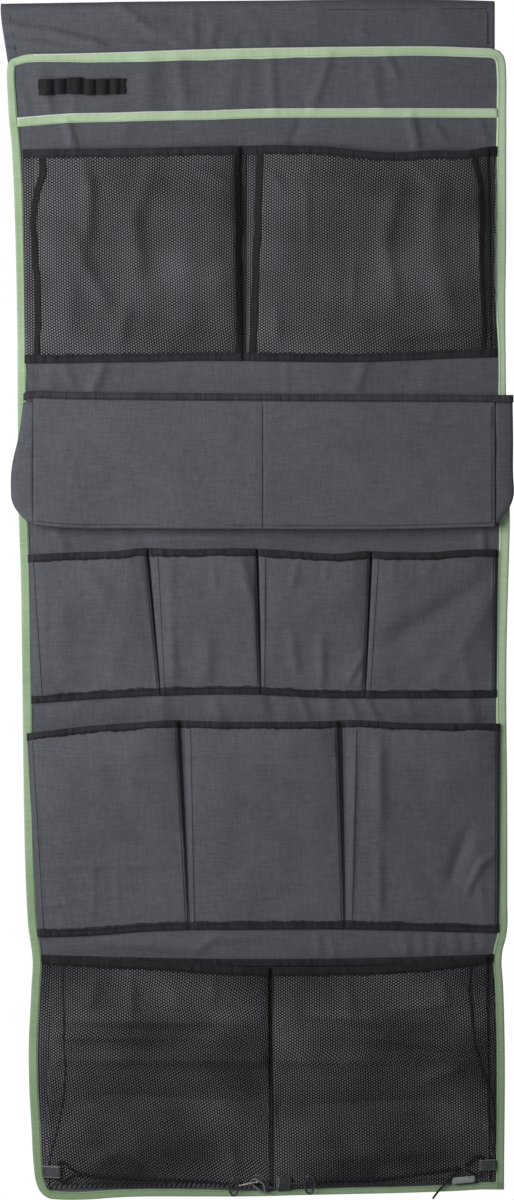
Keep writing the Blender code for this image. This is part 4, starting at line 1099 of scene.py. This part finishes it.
# %% Lower mesh pockets
LOWER_FOLDS = [
    (62, 1104, 266, 1109, 19, -6.5), (274, 1113, 482, 1112, 19, -6.5), (62, 1020, 244, 1022, 5, 2.8),
    (58, 1037, 168, 1038, 4, 2.2), (60, 1059, 370, 1061, 6, 3.0), (120, 1150, 184, 1182, 6, 2.8),
    (228, 1138, 237, 1170, 6, 2.4), (131, 972, 131, 1018, 6, 2.4), (212, 972, 214, 1004, 5, 1.8),
    (98, 975, 88, 1010, 8, 2.0), (344, 972, 351, 1016, 8, 2.6), (303, 1016, 388, 1020, 5, 2.0),
    (353, 1036, 450, 1046, 5, 2.2), (390, 1010, 448, 1004, 5, 1.8), (425, 1080, 462, 1068, 6, 2.2),
    (38, 1033, 61, 1036, 4, 1.4), (38, 1061, 61, 1065, 5, 1.8), (38, 1095, 61, 1101, 4, 1.5),
    (485, 1045, 496, 1098, 5, -2.2), (300, 1160, 470, 1150, 8, 2.0), (90, 1165, 120, 1150, 7, 2.0),
    (440, 980, 448, 1004, 5, 2.0), (168, 980, 176, 1012, 9, 1.6), (290, 980, 296, 1028, 8, 1.6),
]
lower_row = Row(
    through((40, 955.3), (90, 958.5), (150, 961.5), (254, 967.5), (300, 967.5), (400, 965), (450, 960.5), (497, 954)),
    through((44, 1190.6), (100, 1189.6), (160, 1189), (220, 1188.8), (270, 1190.8), (310, 1188.8), (360, 1187.6),
            (430, 1185.4), (470, 1183), (498, 1181.4)),
    [[((36, 38), (50, 45), (64, 49.5)), ((269.8, 271.2), (269.0, 270.6), (265.5, 268))],
     [((272.0, 273.0), (272.8, 273.4), (276.5, 276)), ((498, 497), (488, 491), (468.5, 483))]],
    0.0130, 1.1, LOWER_FOLDS, 51, lip=0.3, rise=1.9, limits=(inset(left_edge, 8.7), inset(right_edge, -7.8)))
deep_leans = (through((965, 0), (1030, 4.4), (1100, 9), (1130, 5), (1160, -1), (1187, 0)),
              through((965, 0), (1050, 0), (1085, 6.5), (1100, 11), (1187, 8)))
for pocket, name in enumerate(("left", "right")):
    lower_row.cloth(f"deep_net_{name}", f"lower_mesh_{name}", pocket, deep_net, 0.0005, 110, 110)
    lower_row.pleat_band(f"deep_pleat_{name}", pocket, pocket == 1, net_layers, (0.86, 1.0), deep_leans[pocket])
lower_row.edge_tape("elastic_mouth", "lower_mouth_elastic", True, black_elastic, 110, 8.4)
back_top = through((41, 954.8), (150, 957.5), (254, 958.8), (400, 957), (497, 953.6))
back_foot = through((41, 962), (150, 965.5), (254, 966.6), (400, 965), (497, 961))
flat_tape("panel_tape", 41, 493.4, back_top, back_foot, 0.0006, black_tape, 90)
seam_y = np.linspace(1186, 974, 60)[None]
seam_u = np.linspace(-1, 1, 5)[:, None]
seam_px = lerp(269.6, 272.1, np.clip((seam_y - 958) / 228, 0, 1)) + seam_u * 1.25
sewn(shell("net_seam", place(seam_px, seam_y, 0.0021 - 0.0004 * seam_u ** 2), TAPE, black_tape), "lower_center_seam")
print("lower mesh pockets, their elastic and their seam")

# %% [markdown]
# ## The stiff tray
# Under the mesh pockets hangs a tray: its front has a board between two layers of canvas, so it stays flat, and it can
# be drawn forward. The front, its lining and its taped mouth ride on the tray's own body. The gussets, the floor and
# the divider are sewn to both, and here they ride on no body.

# %% Tray front, lining and mouth
TRAY_FRONT, TRAY_MOUTH, TRAY_BOARD, TRAY_LINING, LINING = 0.0170, 0.0152, 0.0147, 0.0134, 0.0008
TRAY_LEFT, TRAY_RIGHT = 34.4, 494.2
TAPE_LEFT, TAPE_RIGHT = 22, 512.5
tray_top = through((24, 392.6), (35, 392.2), (60, 393), (150, 394.2), (260, 395), (400, 395.9), (513, 396.2))
tray_foot = through((31, 523.5), (45, 526), (60, 527.3), (150, 528.6), (254, 529.2), (400, 529.2), (494, 526.8))
TRAY_FOLDS = [
    (50, 424, 98, 441, 8, -1.5), (92, 438, 122, 466, 8, -1.4), (62, 440, 66, 470, 8, 0.9), (75, 460, 71, 497, 4, 0.9),
    (28, 509, 58, 500, 3, -0.9), (216, 400, 238, 418, 5, 0.9), (263.2, 390, 263.2, 540, 0.9, -1.6),
    (255, 402, 255, 529, 6, 0.6), (271, 402, 271, 529, 6, 0.6), (300, 420, 380, 500, 18, 0.8),
    (436, 402, 430, 425, 5, 0.9), (420, 430, 470, 510, 14, 0.9), (180, 520, 250, 470, 12, 0.8),
    (60, 524, 470, 526, 2.2, 0.5), (130, 420, 200, 500, 20, 1.0),
]


def stiff(px, py, stand):
    """Points of what doesn't follow the panel's folds, from picture places and a stand in front of the panel."""
    return joined(across(px), PANEL_FACE - stand, height(py))


columns = np.sort(np.concatenate([np.linspace(TRAY_LEFT, TRAY_RIGHT, 210), np.linspace(260.6, 266, 16)]))
columns = (columns - TRAY_LEFT) / (TRAY_RIGHT - TRAY_LEFT)
px, py = cover(straight(TRAY_LEFT), straight(TRAY_RIGHT), inset(tray_top, 1.0), tray_foot, columns, 66)
relief = np.maximum(ridges(px, py, TRAY_FOLDS) + rumple(px, py, 60, 61) * 0.00035, -0.0012)
relief *= np.clip((py - tray_top(px) - 5) / 10, 0.1, 1)
for name, node, stand, thickness in (("tray_canvas", "tray_front", TRAY_FRONT + relief, CLOTH),
                                     ("tray_inner_canvas", "tray_lining", TRAY_LINING - 0.2 * relief, LINING)):
    sewn(shell(name, stiff(px, py, stand), thickness, canvas, "tray"), node,
         flat=(0.5505, 0.157), held="stretched", rests_on=["tray_stiffener"])

px = np.linspace(TAPE_LEFT, TAPE_RIGHT, 170)[:, None]
ends = np.clip(np.minimum((px - TAPE_LEFT) / 9, (TAPE_RIGHT - px) / 20), 0, 1)
reach = 0.0009 + 0.0021 * np.sin(math.pi / 2 * ends)
drop = np.array([7.0, 5.0, 3.0, 1.0, 0.2, -0.2, 0.2, 1.0, 4.0, 7.0])
side_of = np.array([1.0, 1.03, 1.03, 1.0, 0.75, 0.0, -0.75, -1.0, -1.0, -1.0])
curl = 2.4 * np.clip(1 - (px - TAPE_LEFT) / 8, 0, 1) ** 2
points = stiff(px + curl, tray_top(px) + drop + curl, TRAY_MOUTH + reach * side_of)
mouth = shell("tray_mouth_binding", points, TAPE, tray_tape, "tray", joined(across(px), 0.02 * drop * POINT))
sewn(mouth, "tray_mouth_tape")
px, py = cover(straight(37.0), straight(491.4), inset(tray_top, 8.0), inset(tray_foot, -5.0), 40, 14)
sewn(shell("tray_stiffener", stiff(px, py, TRAY_BOARD), 0.0010, board, "tray"), "tray_board")
print("tray front", round(float(across(TRAY_RIGHT) - across(TRAY_LEFT)), 3), "m wide")

# %% [markdown]
# The gussets are strips folded outwards in a V, fullest below the middle of the tray. Seen from the front they show as
# soft ears beside it. The floor is folded upwards in the same way.

# %% Tray gussets, floor and divider
GUSSET_FRONT, GUSSET_BACK = 0.0160, 0.0014
V_TURN = np.linspace(0, 1, 15)
V_SHARE = 1 - np.abs(2 * V_TURN - 1) ** 1.25


def across_to(obj, node):
    """A piece between the panel and the tray: it stands for its node and rides on no body."""
    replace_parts(obj, node)
    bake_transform(obj)


def gusset(side, seam, outline):
    """A gusset: at each height its section runs from the front seam out to the fold and in to the panel."""
    py = np.linspace(403, 523, 36)[None]
    out = outline(py) - seam
    t = V_TURN[:, None]
    px = seam + out * V_SHARE[:, None]
    stand = lerp(GUSSET_FRONT, GUSSET_BACK, t ** 2.4) + rumple(px, py, 30, 71) * 0.0002
    points = stiff(px, py, stand)
    return shell(f"gusset_{side}", points[::-1] if side == "left" else points, CLOTH * 0.8, canvas, None)


left_ear = through((402, 24.5), (440, 19), (462, 13.8), (474, 12.2), (490, 12), (501, 13), (511, 18), (523, 29))
right_ear = through((402, 511.5), (440, 512), (480, 512.2), (492, 513), (503, 510.5), (510, 507), (518, 500.5),
                    (525, 495.5))
across_to(gusset("left", TRAY_LEFT - 0.2, left_ear), "tray_gusset_left")
across_to(gusset("right", TRAY_RIGHT + 0.2, right_ear), "tray_gusset_right")

FLOOR_RISE = 0.0172 / POINT
px = np.linspace(36, 492.5, 60)[:, None]
stand = lerp(0.0124, 0.0016, V_TURN)
floor_y = tray_foot(px) - 0.5 - (FLOOR_RISE - rumple(px, stand / POINT, 60, 72) * 0.4) * V_SHARE
floor = shell("tray_floor_canvas", stiff(px, floor_y, stand), CLOTH * 0.7, canvas, None)
across_to(floor, "tray_floor")

stand = np.linspace(0.0009, 0.0123, 9)[:, None]
py = np.linspace(511, 404, 24)[None]
divider = shell("tray_divider_canvas", stiff(267.2, py, stand), CLOTH * 0.8, canvas, None)
across_to(divider, "tray_divider")

# %% [markdown]
# ## Pole sleeve
# Above the panel a wide head cloth runs up, rolls over the pole and comes down behind as a flap, which a strip of hook
# tape closes. The cloth's left end flares out. The front and the roll belong to the panel. The flap rides on no body,
# but its hook strip rides on the flap's own body.

# %% Head cloth and flap
SLEEVE_RADIUS, ROLL_UP = 0.0095, 0.0180
HEAD_RIGHT = 495
HEAD_LEFT = through((0, 0.6), (10, 0.4), (20, 1.2), (30, 2.6), (40, 4.2), (60, 7.3), (78, 10.4))
HEAD_LIFT = through((0, 0.0006), (0.1, 0.0014), (0.25, 0.0028), (0.5, 0.0042), (0.97, 0.0044), (1, 0.0038))
HEAD_FOLDS = [
    (2, 9, 494, 8, 5, 1.4), (2, 25, 62, 35, 4.5, 2.2), (54, 33, 101, 46, 4.5, 2.2), (92, 42, 118, 56, 4.5, 2.0),
    (6, 39, 92, 53, 3, 1.4), (8, 10, 112, 12, 7, 1.2), (115, 6, 158, 37, 5, 1.8), (194, 12, 194, 50, 4, 1.3),
    (217, 22, 209, 50, 5, 1.3), (118, 46, 158, 46, 5, 1.6), (174, 45, 190, 45, 5, 1.3), (222, 44, 238, 44, 5, 1.3),
    (245, 43, 268, 43, 5, 1.4), (274, 43, 288, 42, 5, 1.1), (316, 6, 317, 38, 5, 0.5), (364, 16, 363, 44, 5, 0.6),
    (6, 9.5, 488, 8, 1.4, -0.6), (150, 20, 176, 40, 7, 1.0), (240, 12, 262, 34, 9, 0.8), (420, 14, 460, 40, 12, 0.7),
    (24, 54, 58, 50, 3, 1.2),
]


def head_piece(name, y, z, body):
    """A cloth across the head: its section (y, z), carried from the left end to the right, tilted a little."""
    u = np.linspace(0, 1, 200)[:, None]
    level = (SLEEVE_TOP - z) / POINT + SLEEVE_TOP_PY
    x = lerp(across(HEAD_LEFT(level)), across(HEAD_RIGHT), u)
    lift = HEAD_LIFT(u) * np.clip((z + 0.03) / 0.04, 0, 1)
    px = x / POINT + MIDDLE_PX
    shown = np.clip((z + 0.030) / 0.008, 0, 1)
    forward = (1.8 * ridges(px, level, HEAD_FOLDS) + rumple(px, level, 70, 81) * 0.00025) * shown
    depth = y - np.where(y < 0, forward, -0.5 * forward)
    return shell(name, joined(x, depth, z + lift), CLOTH, canvas, body, joined(x, run_length(joined(y, z))))


turn = np.linspace(math.pi, 0, 19)[1:]
rise = np.linspace(-0.0590, ROLL_UP, 34)
head_y = np.concatenate([0 * rise - SLEEVE_RADIUS, SLEEVE_RADIUS * np.cos(turn)])
head_z = np.concatenate([rise, ROLL_UP + SLEEVE_RADIUS * np.sin(turn)])
sewn(head_piece("head_cloth", head_y, head_z, "panel"), "header_front",
     flat=(0.5785, 0.107), held="hung", rests_on=["panel_canvas"])

drop = flow([(0.0095, 0.0180), (0.0093, 0.0053), (0.0030, -0.0170), (-0.0044, -0.0344), (-0.0046, -0.0470),
             (-0.0046, -0.0592)], 7)
flap = sewn(head_piece("flap_cloth", drop[:, 0], drop[:, 1], None), "header_flap",
            flat=(0.5785, 0.082), held="hung", rests_on=["head_cloth"])
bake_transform(flap)

strip_x, strip_z = np.linspace(-0.2735, 0.2615, 90)[:, None], np.linspace(-0.0582, -0.0356, 8)
for name, node, y, body in (("loop_strip", "loop_tape", -0.00795, "panel"),
                            ("hook_strip", "hook_tape", -0.00615, "head_flap")):
    sewn(shell(name, joined(strip_x, y, strip_z), 0.0014, closure, body), node)
print("head cloth, flap and closure")

# %% [markdown]
# ## Tabs at the hem
# Each tab is webbing folded into a loop: sewn flat at its root and open at its fold, where a cord or a hook goes
# through. Its section is a line from the root, round the eye and back, carried across the webbing's width. The finish
# gives the webbing a light line near both edges, from the place across the band; on the two tabs that hold the hooks
# that line is a painted highlight along the edges of black webbing.

# %% Webbing tabs
WEBBING, WEBBING_WIDTH, NARROW, WIDE = 0.0012, 0.0138, 0.0082, 0.0146


def edged(name, dark, light, edge, half):
    """Webbing with a light line near both edges, from the place v across the band."""
    paint = Finish(name, Roughness=0.7, Sheen_Weight=0.04)
    u, v = paint.cloth()
    ribs = (u * (2 * math.pi / 0.0014)).sine() * (v * (2 * math.pi / 0.0016)).sine()
    line = v.size().above(half - 0.0016, half - 0.0012)
    grain = paint.noise(u, v, 450, 450, 3.0)
    tone = (ribs * 0.2 + grain * 1.6 + 0.42).above(0.0, 1.0) * (1 - line) + line
    return paint.made(paint.node("ShaderNodeValToRGB", {"stops": [(0, dark), (0.85, light), (1, edge)]}, {0: tone}),
                      ribs * 0.00025)


tab_webbing = edged("edged_webbing", (0.045, 0.048, 0.050), (0.085, 0.090, 0.092), (0.190, 0.200, 0.200),
                    WEBBING_WIDTH / 2)
# On the two hook tabs the light edge lines are painted highlights.
strap_webbing = edged("strap_webbing", (0.012, 0.012, 0.014), (0.090, 0.088, 0.098), (0.180, 0.180, 0.190), NARROW / 2)
dark_webbing = edged("dark_webbing", (0.014, 0.014, 0.016), (0.080, 0.078, 0.088), (0.130, 0.135, 0.135), WIDE / 2)


def webbing_tab(name, node, root, reach, seat, stand, width=WEBBING_WIDTH, finish=tab_webbing, eye=None,
                radius=HOOK_WIRE / 2 + 0.0009 + WEBBING / 2, twist=0.0):
    """A folded tab. root (x, z) is its sewn end, reach leads to its fold, and stand is how far the fold stands out.

    Where eye is given, the tab is already open at that distance from its root. radius is half its opening. A tab may
    twist: its section and band are turned about the tab's middle line, more and more until the eye.
    """
    length = math.hypot(*reach)
    ahead = np.array(reach) / length
    aside = np.array([-ahead[1], ahead[0]])
    turn = np.linspace(-math.pi / 2, math.pi / 2, 9)
    middle = length - radius - WEBBING / 2
    bend = joined(middle + radius * np.cos(turn), stand + radius * np.sin(turn))
    low, high = seat + WEBBING / 2, seat + 1.5 * WEBBING + 0.0003
    near = 0.25 * (eye or middle)
    opening = [(eye, stand - radius)] if eye else [], [(eye, stand + radius)] if eye else []
    section = np.array([(0, low), (near, low), *opening[0], *bend, *opening[1], (near, high + 0.0002), (0, high)])
    section = evenly(soften(flow(section, 4), 2), 0.0009)
    band = np.linspace(-width / 2, width / 2, 9)
    along, off = section[:, :1], section[:, 1:] - stand
    angle = twist * np.sin(math.pi / 2 * np.clip(along / (eye or middle), 0, 1)) ** 2
    across_by, out = band * np.cos(angle) - off * np.sin(angle), stand + band * np.sin(angle) + off * np.cos(angle)
    x, z = (root[k] + ahead[k] * along + aside[k] * across_by for k in (0, 1))
    cloth = joined(run_length(section)[:, None], band)
    tab = shell(name, joined(x, PANEL_FACE - out, z)[::-1], WEBBING, finish, cloth=cloth[::-1])
    sewn(tab, node)


webbing_tab("webbing_corner_left", "corner_tab_left", (-0.2568, -1.3432), (0.0219, 0.0), 0.0029, 0.0072)
webbing_tab("webbing_corner_right", "corner_tab_right", (0.2745, -1.3352), (-0.0192, 0.0), 0.0029, 0.0072, 0.0122)
webbing_tab("webbing_center_left", "center_tab_left", (0.0101, PANEL_HEM + 0.0084), (-0.0202, 0.0156), 0.0030,
            HOOK_STAND, NARROW, strap_webbing, 0.0105, 0.0068, 0.78)
webbing_tab("webbing_center_right", "center_tab_right", (0.0256, PANEL_HEM + 0.0082), (0.0, 0.0178), 0.0030,
            HOOK_STAND, WIDE, dark_webbing, 0.0082, 0.0044, 0.26)
print("four webbing tabs")

# %% [markdown]
# Each hook hangs in its tab by a short shank. The left one is bare wire, wound so that it looks beaded, and the right
# one is black. Last comes the small label at the lower right, left bare.

# %% Hook shanks and label


def shank(side, route, finish, swell=0.4):
    """A hook's shank: wire through its route, swelling and thinning in beads, the more so the nearer to the tab."""
    line = evenly(flow(by_hem([(x, HOOK_STAND, h) for x, h in route]), 10), 0.0003)
    share = run_length(line) / run_length(line)[-1]
    bead = HOOK_WIRE / 2 * (0.55 + swell * (0.4 + 0.6 * share) * np.abs(np.sin(math.pi * share * len(route))))
    made = tube(f"shank_{side}", line, bead, finish, f"hook_{side}", 12)
    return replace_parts(made, f"hook_shank_{side}")


shank("left", [(-0.0262, 0.0148), (-0.0215, 0.0158), (-0.0160, 0.0170), (-0.0105, 0.0182), (-0.0058, 0.0190),
               (-0.0032, 0.0190)], bare_wire, 0.8)
shank("right", [(0.0503, 0.0172), (0.0440, 0.0174), (0.0385, 0.0173), (0.0325, 0.0171), (0.0262, 0.0169)],
      black_wire)

label_u = np.linspace(0, 1, 14)[:, None]
label_px = lerp(452.2, 475.0, label_u)
label_py = lerp(lerp(1184.2, 1182.0, label_u), lerp(1177.6, 1175.6, label_u), np.linspace(0, 1, 6))
label_cloth = woven("label_cloth", (0.150, 0.158, 0.168), (0.300, 0.310, 0.325), 0.0012, 0.7)
label = shell("label_ribbon", place(label_px, label_py, 0.0058 + 0.0004 * np.sin(math.pi * label_u)), 0.0006,
              label_cloth)
sewn(label, "label_tab")
print("shanks and label")

# %% [markdown]
# ## Stitching
# Tapes and hems are held by rows of lockstitch, a little over three millimetres to a stitch. A stitch is a small bead
# of thread: three square sections, the middle one larger. All stitches of a row are one array: the same few corners,
# turned to the line's direction and moved to its place.

# %% Stitches
STITCH_STEP, STITCH_LONG, THREAD_THICK = 0.0033, 0.0024, 0.00080
ON_BINDING, ON_TAPE, ON_HEAD = 0.00125, 0.0017, PANEL_FACE + 0.0106


def stitches(name, lines, finish, body="panel"):
    """Beads of thread along lines of points, lying on what faces the front."""
    lines = [evenly(np.asarray(line, float), STITCH_STEP) for line in lines]
    center = np.concatenate([(line[1:] + line[:-1]) / 2 for line in lines])
    ahead = unit(np.concatenate([np.diff(line, axis=0) for line in lines]))
    side = unit(np.cross(ahead, (0, 1, 0)))
    out = np.cross(side, ahead)
    along = np.repeat([-0.5, 0.0, 0.5], 4) * STITCH_LONG
    wide = np.repeat([0.5, 1.0, 0.5], 4) * THREAD_THICK / 2
    corner_a, corner_b = np.tile([1, 1, -1, -1], 3) * wide, np.tile([-1, 1, 1, -1], 3) * wide
    points = center[:, None] + sum(part[:, None] * axis[:, None] for part, axis in (
        (along, ahead), (corner_a, side), (corner_b, out)))
    ring = np.arange(4)
    walls = [k + joined(ring, 4 + ring, 4 + (ring + 1) % 4, (ring + 1) % 4) for k in (0, 4)]
    one = np.concatenate([*walls, [[0, 1, 2, 3]], [[11, 10, 9, 8]]])
    faces = (one[None] + 12 * np.arange(len(center))[:, None, None]).reshape(-1, 4).tolist()
    cloth = points[..., ::2].reshape(-1, 2)
    add_piece(name, points.reshape(-1, 3), faces, len(faces), cloth, finish, body)
    print(name, len(center), "stitches")


def row_line(row, v, lift):
    """Lines along a row's fronts at the height v, on top of its tape."""
    found = []
    for pocket in range(len(row.pockets)):
        px, py, stand = (a[10:-10, 0] for a in row.front(pocket, np.array([[v]]), 60))
        found.append(place(px, py, stand + lift))
    return found


seam_line = rim + inwards(rim) * (rim_width * 0.80)[:, None]
bar_x = np.linspace(24, 498, 200)
green_lines = [place(seam_line[:, 0], seam_line[:, 1], ON_BINDING)] + [
    place(bar_x, lerp(bar_foot(bar_x), bar_top(bar_x), v), ON_BINDING) for v in (0.14, 0.86)]
stitches("green_stitches", green_lines, green_tape)

tape_lines = []
for row in (mesh_row, small_row, tall_row, lower_row):
    lap = row.tape / row.tall
    tape_lines += row_line(row, 1 - 0.80 * lap, ON_TAPE) + row_line(row, 0.75 * lap, ON_TAPE)
stitches("tape_stitches", tape_lines, black_cord)
stitches("pocket_stitches", [row.side_seam(pocket, right) for row in (small_row, tall_row)
                             for pocket in range(len(row.pockets)) for right in (False, True)], black_cord)

tray_x, tray_y = np.linspace(38, 490, 180), np.linspace(407, 524, 60)
tray_lines = [stiff(tray_x, tray_top(tray_x) + 5.6, 0.0187), stiff(tray_x, tray_foot(tray_x) - 3.6, 0.0179),
              stiff(490.6, tray_y, 0.0178), stiff(265, tray_y, 0.0172)]
stitches("tray_stitches", tray_lines, black_cord, "tray")

head_x, head_y = np.linspace(9, 487, 180), np.linspace(12, 50, 20)
head_lines = [stiff(head_x, lerp(10.6, 8.4, head_x / 500), ON_HEAD), stiff(487.6, np.linspace(11, 44, 20), ON_HEAD),
              stiff(HEAD_LEFT(head_y) + 9.2, head_y, ON_HEAD)]
stitches("head_stitches", head_lines, black_cord)

# %% [markdown]
# ## Light, floor and background
# The picture was taken in studio light that comes from the upper left, since each fold is lit on its left flank and the
# hem is darker than the top. A lamp on that side and an even world give that, and a lamp behind lights the floor and
# what shows through the net. The world is white only where the camera or a reflection sees it. The floor is pale and
# far below, and keeps the organizer's shadow.

# %% Lamps, world and floor
FLOOR_Z = -1.52


def lamp(name, at, aim, size, power):
    """A square area lamp at a place, aimed at a point."""
    data = bpy.data.lights.new(name, "AREA")
    data.size, data.energy = size, power
    made = bpy.data.objects.new(name, data)
    made.location = at
    gaze = np.array(aim, float) - np.array(at, float)
    made.rotation_euler = (math.acos(-gaze[2] / np.linalg.norm(gaze)), 0, math.atan2(gaze[1], gaze[0]) - math.pi / 2)
    bpy.context.scene.collection.objects.link(made)


lamp("key_lamp", (-1.10, -1.32, -0.28), (0.25, 0, -0.40), 1.1, 35)
lamp("back_lamp", (0.9, 2.2, -0.3), (0, 0, -0.7), 1.6, 30)

world = bpy.data.worlds.new("studio")
bpy.context.scene.world = world
world.use_nodes = True
sky = world.node_tree
paths = add_node(sky, "ShaderNodeLightPath", {}, {})
AMBIENT = 0.12
white = sky.nodes["Background"]
white.inputs["Color"].default_value = (1, 1, 1, 1)
total = Field(sky, paths.outputs["Is Camera Ray"]) + Field(sky, paths.outputs["Is Glossy Ray"])
total = total + Field(sky, paths.outputs["Is Transmission Ray"])
shown = total.math("MINIMUM", total, 1.0)
sky.links.new((shown * (1 - AMBIENT) + AMBIENT).socket, white.inputs["Strength"])

floor_paint = Finish("studio_floor", Roughness=0.9)
where = floor_paint.node("ShaderNodeTexCoord", output="Object")
patches = floor_paint.node("ShaderNodeTexNoise", {}, {"Vector": where, "Scale": 2.0})
concrete = floor_paint.made(floor_paint.mix(patches, (0.78, 0.78, 0.78), (0.84, 0.84, 0.84)))
floor_x, floor_y = np.meshgrid(np.linspace(-1.5, 1.5, 23), np.linspace(-1.0, 0.6, 12), indexing="ij")
floor_points = joined(floor_x, floor_y, FLOOR_Z).reshape(-1, 3)
floor_faces = quads(np.arange(floor_x.size).reshape(floor_x.shape)).tolist()
add_piece("studio_floor", floor_points, floor_faces, len(floor_faces), floor_points[:, :2], concrete, None)
bpy.context.scene.view_settings.view_transform = "Standard"
print("two lamps, world and floor")
